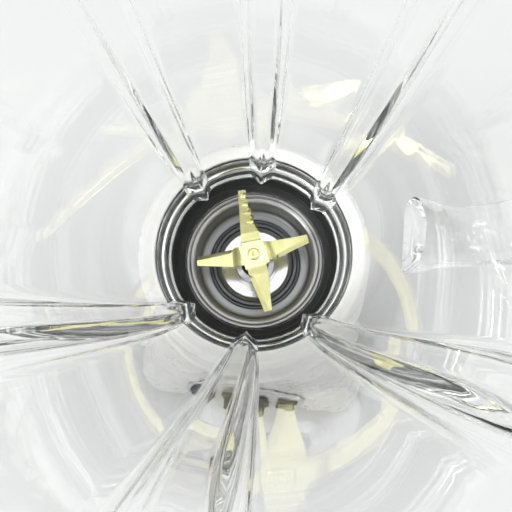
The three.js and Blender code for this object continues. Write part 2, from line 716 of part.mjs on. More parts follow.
/** How far a rib stands in at a height: growing over the neck and fading out under the rim. */
function ribDepth(height) {
  const grown = THREE.MathUtils.smoothstep(height, 0, NECK_HEIGHT);
  const foot = RIB_FOOT_SHARE + (1 - RIB_FOOT_SHARE) * grown;
  return RIB_DEPTH * foot * THREE.MathUtils.smoothstep(JAR_HEIGHT - 16 - height, 0, 50);
}

/** The share of the rib depth at an angle: 1 on a rib's crest and 0 between ribs. */
function ribShare(degrees, height) {
  const away = Math.min(...RIB_ANGLES.map((rib) => Math.abs(rib - degrees)));
  const share = Math.max(0, 1 - away / RIB_HALF_ANGLE);
  const pointed = share ** 1.3;
  const broad = Math.min(1, RIB_BREADTH * share) ** 1.2;
  return THREE.MathUtils.lerp(pointed, broad, THREE.MathUtils.smoothstep(height, 6, 40));
}

/** How far the spout pulls the wall out. */
function spoutBulge(degrees, height) {
  const across = Math.max(0, 1 - Math.abs(degrees - 180) / (SPOUT_HALF_ANGLE * 1.5));
  const up = THREE.MathUtils.smoothstep(height, JAR_HEIGHT - SPOUT_HEIGHT, JAR_HEIGHT);
  return SPOUT_REACH * across * across * (3 - 2 * across) * up;
}

/** Angles round the jar: close together on each rib, wider apart between them. */
function jarAngles() {
  const marks = [];
  for (const rib of RIB_ANGLES) {
    for (const offset of [-1, -0.45, 0, 0.45, 1]) marks.push(rib + offset * RIB_HALF_ANGLE);
  }
  const angles = [];
  marks.forEach((mark, i) => {
    const next = i + 1 < marks.length ? marks[i + 1] : marks[0] + 360;
    const steps = Math.max(1, Math.round((next - mark) / 9));
    for (let step = 0; step < steps; step++) angles.push((mark + ((next - mark) * step) / steps) % 360);
  });
  return angles;
}

/** One ring of the glass, inside or outside, at a height above its bottom edge. */
function glassRing(height, outside) {
  const inNeck = height <= NECK_HEIGHT + 1;
  return jarAngles().map((degrees) => {
    const rib = ribShare(degrees, height) * ribDepth(height);
    const inside = insideRadius(height) - rib + spoutBulge(degrees, height);
    const bead = height > JAR_HEIGHT - 8 ? RIM_BEAD : 0;
    const wall = insideRadius(height) + GLASS_WALL + bead + spoutBulge(degrees, height);
    const outer = inNeck ? NECK_RADIUS : Math.max(wall - 0.7 * rib, NECK_RADIUS - 4);
    const radius = outside ? outer : inside;
    const angle = THREE.MathUtils.degToRad(degrees);
    return new THREE.Vector3(radius * Math.cos(angle), radius * Math.sin(angle), GLASS_Z + height);
  });
}

/** The handle: an oval section carried along a path in the XZ plane, from wall to wall. */
function handle() {
  const grip = HANDLE_REACH - HANDLE_THICKNESS / 2;
  const topRoot = insideRadius(JAR_HEIGHT - 24) + 2.2;
  const lowRoot = insideRadius(66) + 2.2;
  const path = new THREE.CatmullRomCurve3([
    new THREE.Vector3(topRoot, 0, RIM_Z - 24),
    new THREE.Vector3(grip - 10, 0, RIM_Z - 22),
    new THREE.Vector3(grip, 0, RIM_Z - 34),
    new THREE.Vector3(grip, 0, RIM_Z - 78),
    new THREE.Vector3(grip - 5, 0, RIM_Z - 118),
    new THREE.Vector3(grip - 17, 0, RIM_Z - 137),
    new THREE.Vector3(lowRoot, 0, GLASS_Z + 66),
  ], false, 'centripetal');
  const across = new THREE.Vector3(0, 1, 0);
  const rings = [];
  for (let step = 0; step <= 14; step++) {
    const centre = path.getPointAt(step / 14);
    const side = path.getTangentAt(step / 14).cross(across);
    const points = [];
    for (let i = 0; i < 12; i++) {
      const angle = (i / 12) * 2 * Math.PI;
      const point = centre.clone();
      point.addScaledVector(side, (Math.cos(angle) * HANDLE_THICKNESS) / 2);
      point.addScaledVector(across, (Math.sin(angle) * HANDLE_WIDTH) / 2);
      points.push(point);
    }
    rings.push(points);
  }
  return loft(rings);
}

function glassJar() {
  const heights = [0, NECK_HEIGHT + 1, NECK_HEIGHT + 3, 38, 75, 130, 165, 189, 197, JAR_HEIGHT];
  const outside = heights.map((height) => glassRing(height, true));
  const inside = heights.map((height) => glassRing(height, false)).reverse();
  return join(loft([...outside, ...inside], true), handle());
}

// ---- Cutter ----

// Each arm: its direction in degrees, reach, width at root and tip, the step of its bend and the
// height of its tip over the hub.
const ARMS = {
  serrated_up: { turn: 106.4, reach: 29.5, root: 9.2, tip: 3.6, bend: 2.6, rise: 8.5 },
  plain_up: { turn: 289.4, reach: 28, root: 9.4, tip: 3.6, bend: 2.6, rise: 6 },
  right_down: { turn: 24.4, reach: 28.2, root: 9.4, tip: 4.2, bend: -3.9, rise: -4.6 },
  left_down: { turn: 190.4, reach: 28.2, root: 9.4, tip: 4.6, bend: -3.9, rise: -4.6 },
};

/** One bent, tapering arm, from the middle of the hub outwards. */
function arm({ turn, reach, root, tip, bend, rise }, top) {
  const stations = [
    [HUB_HALF / 2, root, 0], [HUB_HALF, root, 0], [HUB_HALF + BEND_LENGTH, root, bend],
    [reach, tip, rise],
  ];
  const rings = stations.map(([along, width, height]) => {
    const corners = [[-1, -BLADE_THICKNESS], [1, -BLADE_THICKNESS], [1, 0], [-1, 0]];
    return corners.map(([side, drop]) =>
      new THREE.Vector3(along, (side * width) / 2, top + height + drop));
  });
  return spun(loft(rings), turn);
}

/** A blade: a square hub with a round hole and two arms. */
function blade(top, first, second) {
  const hub = spun(block([-HUB_HALF, -HUB_HALF, top - BLADE_THICKNESS], [HUB_HALF, HUB_HALF, top]),
    ARMS.right_down.turn);
  const hole = rod(STUD_RADIUS + GAP, top - 10, top + 10, 20);
  return cut(join(hub, arm(first, top), arm(second, top)), hole);
}

function bladeShaft() {
  const shoulder = LOWER_BLADE_Z - BLADE_THICKNESS - GAP;
  return turned([
    [0, DRIVEN_Z + 2], [SHAFT_RADIUS, DRIVEN_Z + 2], [SHAFT_RADIUS, BOWL_FLOOR_Z + 5],
    [SHAFT_RADIUS + 1.5, BOWL_FLOOR_Z + 6], [SHAFT_RADIUS + 1.5, shoulder], [STUD_RADIUS, shoulder],
    [STUD_RADIUS, HUB_Z + 0.3], [STUD_RADIUS - 0.6, HUB_Z + 0.7], [0, HUB_Z + 0.7],
  ], 20);
}

function drivenCoupling() {
  const turn = 180 / COUPLING_LUGS;
  const whole = coupling(DRIVEN_Z, DRIVEN_Z + 3.4, LUG_Z + 0.6, DRIVEN_Z + 1, turn);
  return cut(whole, rod(SHAFT_RADIUS + GAP, DRIVEN_Z + 2 - GAP, DRIVEN_Z + 10));
}

// ---- Lid ----

function lid() {
  const skirtInside = LID_SKIRT_RADIUS - 3;
  const top = LID_Z + LID_HEIGHT;
  return turned([
    [LID_HOLE_RADIUS, top - 7.5], [skirtInside - 2, LID_Z + 4.2], [skirtInside, LID_Z + 2],
    [skirtInside, LID_Z - LID_SKIRT_DEPTH], [LID_SKIRT_RADIUS, LID_Z - LID_SKIRT_DEPTH],
    [LID_SKIRT_RADIUS, LID_Z], [LID_RADIUS, LID_Z], [LID_RADIUS + 1, LID_Z + 3.5],
    [LID_RADIUS - 4, LID_Z + 7], [LID_HOLE_RADIUS + 6, top - 3.6], [LID_HOLE_RADIUS + 4, top],
    [LID_HOLE_RADIUS, top],
  ]);
}

function lidSeal() {
  const inner = LID_SKIRT_RADIUS + GAP;
  const outer = insideRadius(JAR_HEIGHT - 10) - 0.4;
  const bottom = LID_Z - LID_SKIRT_DEPTH + 1;
  return turned([
    [inner, bottom], [outer - 1, bottom], [outer, bottom + 3], [outer - 1, bottom + 5],
    [outer, bottom + 7], [outer - 1, bottom + 9], [inner, bottom + 9],
  ]);
}

function measuringCap() {
  const top = CAP_Z + CAP_HEIGHT;
  const skirt = LID_HOLE_RADIUS - 0.6;
  return turned([
    [0, top - 3], [CAP_RADIUS - 4, top - 3], [CAP_RADIUS - 2.4, CAP_Z + 3], [skirt - 2.6, CAP_Z - 19],
    [skirt, CAP_Z - 19], [skirt, CAP_Z], [skirt + 4, CAP_Z], [skirt + 4, CAP_Z + 3],
    [CAP_RADIUS + 1, CAP_Z + 4.5], [CAP_RADIUS, top - 2], [CAP_RADIUS - 2, top], [0, top],
  ], 36);
}

// ---- Assembly ----

const blender = new THREE.Group();

/** Adds a named mesh to a group. */
function add(name, body, material, group = blender, [x, y] = [0, 0]) {
  const geometry = shapeOf(body);
  geometry.computeVertexNormals();
  const mesh = new THREE.Mesh(geometry, material);
  mesh.name = name;
  mesh.position.set(x, y, 0);
  group.add(mesh);
}

function addBase() {
  add('base_shell', baseShell(), housing);
  add('jar_seat', jarSeat(), housing);
  add('base_plate', basePlate(), darkPlastic);
  CORNERS.forEach(([sideX, sideY], i) => {
    add(`foot_${i + 1}`, foot(), rubber, blender, [sideX * FOOT_X, sideY * FOOT_Y]);
    add(`base_screw_${i + 1}`, baseScrew(), steel, blender, [sideX * BOSS_X, sideY * BOSS_Y]);
    add(`motor_mount_${i + 1}`, rubberMount(), rubber, blender, [sideX * MOUNT_X, sideY * MOUNT_Y]);
  });
  add('seat_pad', seatPad(), rubber);
  const rear = new THREE.Group();
  rear.applyMatrix4(REAR_FRAME);
  add('cord_inlet', cordInlet(), rubber, rear);
  blender.add(rear);
}

function addControls() {
  const panel = new THREE.Group();
  panel.applyMatrix4(PANEL_FRAME);
  add('control_panel', controlPanel(), steel, panel);
  add('speed_knob', speedKnob(), darkPlastic, panel);
  add('switch_shaft', switchShaft(), steel, panel);
  add('speed_switch', speedSwitch(), darkPlastic, panel);
  add('control_board', controlBoard(), board, panel);
  for (const [name, sideX, sideY] of BUTTONS) {
    add(name, button(), darkPlastic, panel, [sideX * BUTTON_X, sideY * BUTTON_Y]);
  }
  blender.add(panel);
}

function addMotor() {
  add('lower_bracket', lowerBracket(), aluminium);
  add('upper_bracket', upperBracket(), aluminium);
  add('lower_bearing', bearing(BRACKET_Z + 2), steel);
  add('upper_bearing', bearing(UPPER_BRACKET_Z - 5), steel);
  add('stator_core', statorCore(), laminations);
  for (const [name, side] of [['left', -1], ['right', 1]]) {
    add(`field_coil_${name}`, fieldCoil(side), copper);
    add(`brush_holder_${name}`, brushHolder(side), darkPlastic);
    add(`carbon_brush_${name}`, carbonBrush(side), carbon);
  }
  BOLT_PLACES.forEach(([sideX, sideY], i) => {
    add(`motor_bolt_${i + 1}`, motorBolt(), steel, blender, [sideX * BOLT_OFFSET, sideY * BOLT_OFFSET]);
  });
  add('motor_shaft', motorShaft(), steel);
  add('rotor_core', rotorCore(), laminations);
  add('commutator', commutator(), copper);
  add('cooling_fan', coolingFan(), darkPlastic);
  add('drive_coupling', driveCoupling(), steel);
}

function addJar() {
  add('jar_collar', jarCollar(), housing);
  add('jar_seal', jarSeal(), rubber);
  add('cutter_bowl', cutterBowl(), steel);
  add('bearing_housing', bearingHousing(), steel);
  add('lower_bush', bush(BEARING_Z + 0.4, BEARING_Z + 5), copper);
  add('upper_bush', bush(BEARING_Z + 9, BOWL_FLOOR_Z - 2), copper);
  add('shaft_seal', bush(BOWL_FLOOR_Z - 1.6, BOWL_FLOOR_Z + 2), rubber);
  add('retaining_nut', retainingNut(), steel);
  add('glass_jar', glassJar(), glass);
  add('blade_shaft', bladeShaft(), steel);
  add('lower_blade', blade(LOWER_BLADE_Z, ARMS.right_down, ARMS.left_down), goldBlade);
  add('upper_blade', blade(HUB_Z, ARMS.serrated_up, ARMS.plain_up), goldBlade);
  add('driven_coupling', drivenCoupling(), steel);
  add('lid', lid(), glass);
  add('lid_seal', lidSeal(), rubber);
  add('measuring_cap', measuringCap(), glass);
}

addBase();
addControls();
addMotor();
addJar();

export default blender;
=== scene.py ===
"""Looks of a countertop blender, seen from inside its ribbed glass jar down on to the cutter.

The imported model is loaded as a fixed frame. Outlines are in millimetres and are turned into metres
when a mesh is made. Every piece stands where its CAD node's box says.
"""

import json
import math

import bmesh
import bpy
from mathutils import Matrix, Vector


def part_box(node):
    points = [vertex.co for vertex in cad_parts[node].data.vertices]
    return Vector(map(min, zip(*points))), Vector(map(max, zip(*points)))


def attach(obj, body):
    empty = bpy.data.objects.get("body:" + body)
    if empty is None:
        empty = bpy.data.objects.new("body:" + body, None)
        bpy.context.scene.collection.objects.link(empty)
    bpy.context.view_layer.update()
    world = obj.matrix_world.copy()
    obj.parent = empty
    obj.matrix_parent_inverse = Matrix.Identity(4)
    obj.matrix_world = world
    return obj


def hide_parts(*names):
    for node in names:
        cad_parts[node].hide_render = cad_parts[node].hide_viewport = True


MM = 0.001

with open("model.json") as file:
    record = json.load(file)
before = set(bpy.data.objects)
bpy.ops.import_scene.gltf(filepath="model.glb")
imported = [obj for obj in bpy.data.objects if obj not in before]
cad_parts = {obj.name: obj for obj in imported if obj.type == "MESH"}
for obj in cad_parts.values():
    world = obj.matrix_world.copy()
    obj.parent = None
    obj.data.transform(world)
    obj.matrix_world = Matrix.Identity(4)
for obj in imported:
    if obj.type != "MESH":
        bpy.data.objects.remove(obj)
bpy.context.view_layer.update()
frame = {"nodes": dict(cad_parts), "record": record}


def box_mm(node):
    """Lowest and highest corner of a CAD node in millimetres."""
    low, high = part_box(node)
    return low / MM, high / MM


# ---- Places taken from the frame ----
HUB_TOP = box_mm("blade_shaft")[1].z - 0.7
GLASS_LOW, GLASS_HIGH = box_mm("glass_jar")
COLLAR_LOW, COLLAR_HIGH = box_mm("jar_collar")
SEAL_LOW, SEAL_HIGH = box_mm("jar_seal")
BOWL_HIGH = box_mm("cutter_bowl")[1]
SHELL_LOW, SHELL_HIGH = box_mm("base_shell")
LID_LOW, LID_HIGH = box_mm("lid")
LID_SEAL_LOW, LID_SEAL_HIGH = box_mm("lid_seal")
CAP_LOW, CAP_HIGH = box_mm("measuring_cap")
FOOT_HIGH = box_mm("foot_1")[1]

# ---- Dimensions shared by several pieces, in millimetres ----
GLASS_BOTTOM_RADIUS = 39.8
MOUTH_RADIUS = 62.0
FLARE_HEIGHT = 38.4
TAPER = 0.05
GLASS_WALL = 4.4
NECK_RADIUS = 47.5
NECK_HEIGHT = 12.0
RIB_DEPTH = 6.0
RIB_HALF_ANGLE = 7.5
RIB_BREADTH = 1.6
RIB_ANGLES = (45, 90, 135, 225, 270, 315)
JAR_HEIGHT = GLASS_HIGH.z - GLASS_LOW.z
SHELL_WALL = 3.0
SKIRT_Z = 14.0
SHOULDER_Z = 112.0
SLOPE = math.atan2(30, SHOULDER_Z - SKIRT_Z)

# ---- Camera ----
CAMERA_FROM_HUB = Vector((7.7, -35.6, 196.7))
CAMERA_TURN = math.radians(5.4)
CAMERA_LENS = 29.5
CAMERA_SHIFT = (0.0043, -0.0039)


def add_camera():
    """The camera inside the jar, just under the lid, looking down at the cutter's hub."""
    data = bpy.data.cameras.new("camera")
    camera = bpy.data.objects.new("camera", data)
    bpy.context.scene.collection.objects.link(camera)
    back = CAMERA_FROM_HUB.normalized()
    right = Vector((math.cos(CAMERA_TURN), math.sin(CAMERA_TURN), 0))
    right = (right - back * right.dot(back)).normalized()
    up = back.cross(right)
    place = Vector((0, 0, HUB_TOP)) + CAMERA_FROM_HUB
    camera.matrix_world = Matrix.Translation(place * MM) @ Matrix((right, up, back)).transposed().to_4x4()
    data.lens = CAMERA_LENS
    data.sensor_width = 36
    data.clip_start = 0.001
    data.clip_end = 50
    data.shift_x, data.shift_y = CAMERA_SHIFT
    bpy.context.scene.camera = camera


add_camera()


def set_light_paths():
    """Enough bounces for light to find its way through ribbed glass, and plain tone mapping."""
    scene = bpy.context.scene
    scene.cycles.max_bounces = 28
    scene.cycles.glossy_bounces = 20
    scene.cycles.transmission_bounces = 28
    scene.cycles.transparent_max_bounces = 28
    scene.view_settings.view_transform = "Standard"


set_light_paths()

# ---- Material helpers ----


class Nodes:
    """A new material with its Principled shader, and short ways to add and join nodes."""

    def __init__(self, name):
        self.material = bpy.data.materials.new(name)
        self.material.use_nodes = True
        self.tree = self.material.node_tree
        self.shader = self.tree.nodes["Principled BSDF"]
        self.output = self.tree.nodes["Material Output"]

    def add(self, kind, **values):
        """A node, with its settings and its inputs' plain values."""
        node = self.tree.nodes.new("ShaderNode" + kind)
        for key, value in values.items():
            if key in node.inputs:
                node.inputs[key].default_value = value
            else:
                setattr(node, key, value)
        return node

    def join(self, source, target):
        """A link from an output to an input."""
        self.tree.links.new(source, target)

    def set(self, **values):
        """Plain values on the Principled shader. Spaces in socket names are written as _."""
        for key, value in values.items():
            self.shader.inputs[key.replace("_", " ")].default_value = value

    def place(self):
        """The object's own coordinates, in metres."""
        return self.add("TexCoord").outputs["Object"]

    def stretched(self, scale):
        """Coordinates stretched along the axes, for grain."""
        mapping = self.add("Mapping")
        mapping.inputs["Scale"].default_value = scale
        self.join(self.place(), mapping.inputs["Vector"])
        return mapping.outputs["Vector"]

    def noise(self, vector, scale, detail=3.0, roughness=0.5):
        """Noise over a vector."""
        node = self.add("TexNoise", Scale=scale, Detail=detail, Roughness=roughness)
        self.join(vector, node.inputs["Vector"])
        return node.outputs["Fac"]

    def ramp(self, value, low, high, start=0.35, end=0.65):
        """A value spread between two numbers or two colours."""
        node = self.add("MapRange")
        node.inputs["From Min"].default_value = start
        node.inputs["From Max"].default_value = end
        node.inputs["To Min"].default_value = low
        node.inputs["To Max"].default_value = high
        self.join(value, node.inputs["Value"])
        return node.outputs["Result"]

    def tint(self, value, dark, light, start=0.3, end=0.7):
        """A colour that goes from dark to light with a value."""
        node = self.add("ValToRGB")
        node.color_ramp.elements[0].position = start
        node.color_ramp.elements[0].color = (*dark, 1)
        node.color_ramp.elements[1].position = end
        node.color_ramp.elements[1].color = (*light, 1)
        self.join(value, node.inputs["Fac"])
        return node.outputs["Color"]

    def radius(self, scale):
        """The distance from the Z axis as a vector, for spun and turned surfaces."""
        split = self.add("SeparateXYZ")
        self.join(self.place(), split.inputs[0])
        flat = self.add("CombineXYZ")
        self.join(split.outputs["X"], flat.inputs["X"])
        self.join(split.outputs["Y"], flat.inputs["Y"])
        length = self.add("VectorMath", operation="LENGTH")
        self.join(flat.outputs[0], length.inputs[0])
        both = self.add("CombineXYZ")
        self.join(length.outputs["Value"], both.inputs["X"])
        self.join(split.outputs["Z"], both.inputs["Z"])
        mapping = self.add("Mapping")
        mapping.inputs["Scale"].default_value = (scale, scale, scale)
        self.join(both.outputs[0], mapping.inputs["Vector"])
        return mapping.outputs["Vector"]

    def bump(self, height, strength, distance):
        """A bump on the Principled shader."""
        node = self.add("Bump", Strength=strength, Distance=distance)
        self.join(height, node.inputs["Height"])
        self.join(node.outputs["Normal"], self.shader.inputs["Normal"])


def plastic(name, colour, roughness, grain=0.25, grain_scale=1800, coat=0.0):
    """Moulded plastic: fine grain, faint cloudiness and a sheen that varies a little."""
    nodes = Nodes(name)
    cloud = nodes.noise(nodes.place(), 22)
    dark = [c * 0.96 for c in colour]
    nodes.join(nodes.tint(cloud, dark, colour), nodes.shader.inputs["Base Color"])
    rough = nodes.ramp(nodes.noise(nodes.place(), 90), roughness - 0.05, roughness + 0.06)
    nodes.join(rough, nodes.shader.inputs["Roughness"])
    nodes.set(Coat_Weight=coat, Coat_Roughness=0.12)
    nodes.bump(nodes.noise(nodes.place(), grain_scale, 2), grain, 0.00012)
    return nodes.material


def rubber(name, colour, roughness=0.72):
    """Soft black rubber with mould bloom."""
    nodes = Nodes(name)
    bloom = nodes.noise(nodes.place(), 70, 5)
    light = [c * 2.2 for c in colour]
    nodes.join(nodes.tint(bloom, colour, light, 0.35, 0.85), nodes.shader.inputs["Base Color"])
    nodes.join(nodes.ramp(bloom, roughness - 0.12, roughness + 0.1), nodes.shader.inputs["Roughness"])
    nodes.bump(nodes.noise(nodes.place(), 2600, 2), 0.3, 0.0001)
    return nodes.material


def turned_metal(name, dark, light, roughness, groove=0.25, lines=2200):
    """Turned or spun metal: fine rings round the Z axis, with bands that catch more or less light."""
    nodes = Nodes(name)
    nodes.set(Metallic=1.0)
    rings = nodes.noise(nodes.radius(lines), 1.0, 4, 0.7)
    bands = nodes.noise(nodes.radius(lines * 0.12), 1.0, 3)
    nodes.join(nodes.tint(bands, dark, light), nodes.shader.inputs["Base Color"])
    nodes.join(nodes.ramp(rings, roughness * 0.7, roughness * 1.5), nodes.shader.inputs["Roughness"])
    nodes.bump(rings, groove, 0.00003)
    return nodes.material


def brushed_metal(name, dark, light, roughness, stretch, groove=0.2):
    """Metal with straight brush marks: noise drawn out along one axis."""
    nodes = Nodes(name)
    nodes.set(Metallic=1.0)
    marks = nodes.noise(nodes.stretched(stretch), 1.0, 4, 0.65)
    cloud = nodes.noise(nodes.place(), 40)
    nodes.join(nodes.tint(cloud, dark, light), nodes.shader.inputs["Base Color"])
    nodes.join(nodes.ramp(marks, roughness * 0.7, roughness * 1.5), nodes.shader.inputs["Roughness"])
    nodes.bump(marks, groove, 0.00004)
    return nodes.material


def clear(name, colour, ior, waves, wave_scale, roughness=0.0):
    """Clear glass or plastic with a faintly wavy surface. Lamps shine through it."""
    nodes = Nodes(name)
    nodes.set(Transmission_Weight=1.0, IOR=ior, Roughness=roughness, Base_Color=(*colour, 1))
    nodes.bump(nodes.noise(nodes.place(), wave_scale, 2), waves, 0.0005)
    path = nodes.add("LightPath")
    lamp = nodes.add("BsdfTransparent", Color=(*[c ** 0.5 for c in colour], 1))
    mix = nodes.add("MixShader")
    nodes.join(path.outputs["Is Shadow Ray"], mix.inputs[0])
    nodes.join(nodes.shader.outputs[0], mix.inputs[1])
    nodes.join(lamp.outputs[0], mix.inputs[2])
    nodes.join(mix.outputs[0], nodes.output.inputs["Surface"])
    return nodes.material


def laminated(name):
    """Stacked steel sheets seen from the side: fine level lines under dull varnish."""
    nodes = Nodes(name)
    nodes.set(Metallic=0.8, Roughness=0.45)
    wave = nodes.add("TexWave", bands_direction="Z", Scale=300.0, Distortion=0.4)
    nodes.join(nodes.place(), wave.inputs["Vector"])
    colour = nodes.tint(wave.outputs["Fac"], (0.09, 0.09, 0.1), (0.24, 0.24, 0.26))
    nodes.join(colour, nodes.shader.inputs["Base Color"])
    nodes.bump(wave.outputs["Fac"], 0.5, 0.0002)
    return nodes.material


def wound_copper(name):
    """Enamelled wire or bronze: close-laid turns with a warm sheen."""
    nodes = Nodes(name)
    nodes.set(Metallic=1.0)
    wave = nodes.add("TexWave", bands_direction="DIAGONAL", Scale=260.0, Distortion=0.6)
    nodes.join(nodes.place(), wave.inputs["Vector"])
    colour = nodes.tint(wave.outputs["Fac"], (0.28, 0.1, 0.04), (0.72, 0.34, 0.16))
    nodes.join(colour, nodes.shader.inputs["Base Color"])
    nodes.join(nodes.ramp(wave.outputs["Fac"], 0.5, 0.25), nodes.shader.inputs["Roughness"])
    nodes.bump(wave.outputs["Fac"], 0.5, 0.0002)
    return nodes.material


def circuit_board(name):
    """Green solder mask with traces showing as a faint change of tone."""
    nodes = Nodes(name)
    nodes.set(Roughness=0.35)
    brick = nodes.add("TexBrick", Scale=120.0)
    brick.inputs["Color1"].default_value = (0.02, 0.13, 0.05, 1)
    brick.inputs["Color2"].default_value = (0.03, 0.17, 0.07, 1)
    brick.inputs["Mortar"].default_value = (0.05, 0.26, 0.12, 1)
    nodes.join(nodes.place(), brick.inputs["Vector"])
    nodes.join(brick.outputs["Color"], nodes.shader.inputs["Base Color"])
    nodes.bump(brick.outputs["Fac"], 0.3, 0.0001)
    return nodes.material


def gold_blade(name):
    """Pale gold coating on ground steel: fine grinding marks and a cloudy tone."""
    nodes = Nodes(name)
    nodes.set(Metallic=1.0)
    marks = nodes.noise(nodes.stretched((1500, 1500, 300)), 1.0, 3, 0.6)
    cloud = nodes.noise(nodes.place(), 130, 4)
    colour = nodes.tint(cloud, (0.78, 0.74, 0.34), (0.90, 0.87, 0.45), 0.3, 0.62)
    nodes.join(colour, nodes.shader.inputs["Base Color"])
    nodes.join(nodes.ramp(marks, 0.21, 0.26), nodes.shader.inputs["Roughness"])
    nodes.bump(marks, 0.02, 0.00001)
    return nodes.material


def spun_bowl(name):
    """Spun steel by distance from the axis: polished middle, turned steps and satin floor, with their darker
    colours painted shade over the steel's own tone.
    """
    nodes = Nodes(name)
    nodes.set(Metallic=1.0)
    zones = nodes.add("ValToRGB")
    ramp = zones.color_ramp
    ramp.elements[0].position = BOWL_TONE_AND_SHADE[0][0] / BOWL_REACH
    ramp.elements[0].color = (*BOWL_TONE_AND_SHADE[0][1], 1)
    ramp.elements[1].position = BOWL_TONE_AND_SHADE[-1][0] / BOWL_REACH
    ramp.elements[1].color = (*BOWL_TONE_AND_SHADE[-1][1], 1)
    for radius, colour in BOWL_TONE_AND_SHADE[1:-1]:
        ramp.elements.new(radius / BOWL_REACH).color = (*colour, 1)
    split = nodes.add("SeparateXYZ")
    nodes.join(nodes.radius(1000 / BOWL_REACH), split.inputs[0])
    nodes.join(split.outputs["X"], zones.inputs["Fac"])
    lines = nodes.noise(nodes.radius(1500), 1.0, 4, 0.75)
    shade = nodes.add("MixRGB", blend_type="MULTIPLY", Fac=1.0)
    nodes.join(zones.outputs["Color"], shade.inputs["Color1"])
    nodes.join(nodes.tint(lines, (0.55, 0.55, 0.56), (1, 1, 1), 0.35, 0.6), shade.inputs["Color2"])
    nodes.join(shade.outputs["Color"], nodes.shader.inputs["Base Color"])
    rough = nodes.ramp(split.outputs["X"], 0.17, 0.36, 18 / BOWL_REACH, 18.8 / BOWL_REACH)
    nodes.join(rough, nodes.shader.inputs["Roughness"])
    nodes.bump(lines, 0.12, 0.00002)
    return nodes.material


# Radius in millimetres and colour: polished middle, turned steps, satin floor, wall and rolled rim. The dark
# colours on the steps, grooves and floor are painted shade over the steel's own tone.
BOWL_REACH = 36.0
BOWL_TONE_AND_SHADE = [
    (9.0, (0.6, 0.6, 0.62)), (17.6, (0.8, 0.8, 0.82)), (18.6, (0.3, 0.3, 0.31)), (19.4, (0.14, 0.14, 0.15)),
    (22.8, (0.16, 0.16, 0.17)), (24.4, (0.08, 0.08, 0.09)), (25.2, (0.36, 0.36, 0.37)),
    (28.6, (0.33, 0.33, 0.34)), (30.2, (0.6, 0.6, 0.61)), (31.4, (0.6, 0.6, 0.61)),
    (33.0, (0.42, 0.42, 0.43)), (35.0, (0.36, 0.36, 0.37)),
]

MATERIALS = {
    "housing": plastic("housing", (0.84, 0.83, 0.81), 0.3, 0.06, 900, 0.4),
    "dark_plastic": plastic("dark_plastic", (0.024, 0.024, 0.027), 0.42, 0.3, 1900),
    "rubber": rubber("rubber", (0.007, 0.007, 0.0075), 0.62),
    "steel": turned_metal("spun_steel", (0.62, 0.62, 0.63), (0.8, 0.8, 0.81), 0.2),
    "machined_steel": turned_metal("machined_steel", (0.5, 0.5, 0.51), (0.72, 0.72, 0.73), 0.22),
    "blade_gold": gold_blade("blade_gold"),
    "glass": clear("glass", (0.985, 0.995, 0.99), 1.5, 0.05, 60),
    "clear_plastic": clear("clear_plastic", (0.97, 0.985, 0.99), 1.49, 0.04, 90, 0.02),
    "laminations": laminated("laminations"),
    "copper": wound_copper("copper"),
    "aluminium": brushed_metal("cast_aluminium", (0.42, 0.42, 0.43), (0.6, 0.6, 0.61), 0.38, (500, 500, 500)),
    "board_green": circuit_board("board_green"),
    "carbon": plastic("carbon", (0.03, 0.03, 0.032), 0.6, 0.5, 2400),
    "bowl_steel": spun_bowl("bowl_steel"),
    "panel_steel": brushed_metal(
        "panel_steel", (0.55, 0.55, 0.56), (0.72, 0.72, 0.73), 0.26, (60, 4000, 4000)),
    "print_white": plastic("print_white", (0.85, 0.85, 0.83), 0.5, 0.1, 2000),
}

# ---- Mesh helpers ----


def new_object(name, vertices, faces, sharp=32):
    """A smooth-shaded mesh object from points in millimetres. Its normals face out."""
    mesh = bpy.data.meshes.new(name)
    mesh.from_pydata([Vector(v) * MM for v in vertices], [], faces)
    work = bmesh.new()
    work.from_mesh(mesh)
    bmesh.ops.remove_doubles(work, verts=work.verts, dist=1e-7)
    bmesh.ops.recalc_face_normals(work, faces=work.faces)
    work.to_mesh(mesh)
    work.free()
    mesh.shade_smooth()
    mesh.set_sharp_from_angle(angle=math.radians(sharp))
    made = bpy.data.objects.new(name, mesh)
    bpy.context.scene.collection.objects.link(made)
    return made


def keep(piece, body, slot, *nodes, material=None):
    """Gives a piece its material and body, and hides the CAD nodes it stands for."""
    piece.data.materials.clear()
    piece.data.materials.append(MATERIALS[material or slot])
    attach(piece, body)
    if nodes:
        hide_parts(*nodes)
    return piece


def settle(piece):
    """The piece's mesh with its modifiers applied."""
    bpy.context.view_layer.update()
    graph = bpy.context.evaluated_depsgraph_get()
    mesh = bpy.data.meshes.new_from_object(piece.evaluated_get(graph))
    piece.modifiers.clear()
    old = piece.data
    piece.data = mesh
    bpy.data.meshes.remove(old)
    return piece


def combine(piece, tool, operation):
    """Joins a tool to a piece or cuts it away, and removes the tool."""
    step = piece.modifiers.new("combine", "BOOLEAN")
    step.operation = operation
    step.solver = "EXACT"
    step.object = tool
    settle(piece)
    bpy.data.objects.remove(tool)
    piece.data.shade_smooth()
    piece.data.set_sharp_from_angle(angle=math.radians(32))
    return piece


def filleted(outline, steps=4):
    """A closed outline of (radius, height, fillet) corners as points, each corner rounded off."""
    points = []
    for i, (x, z, fillet) in enumerate(outline):
        here = Vector((x, z))
        before = Vector(outline[i - 1][:2]) - here
        after = Vector(outline[(i + 1) % len(outline)][:2]) - here
        reach = min(fillet, 0.45 * before.length, 0.45 * after.length)
        if reach <= 0:
            points.append(here)
            continue
        start = here + before.normalized() * reach
        end = here + after.normalized() * reach
        for step in range(steps + 1):
            t = step / steps
            points.append(start * (1 - t) ** 2 + here * (2 * t * (1 - t)) + end * t ** 2)
    return points


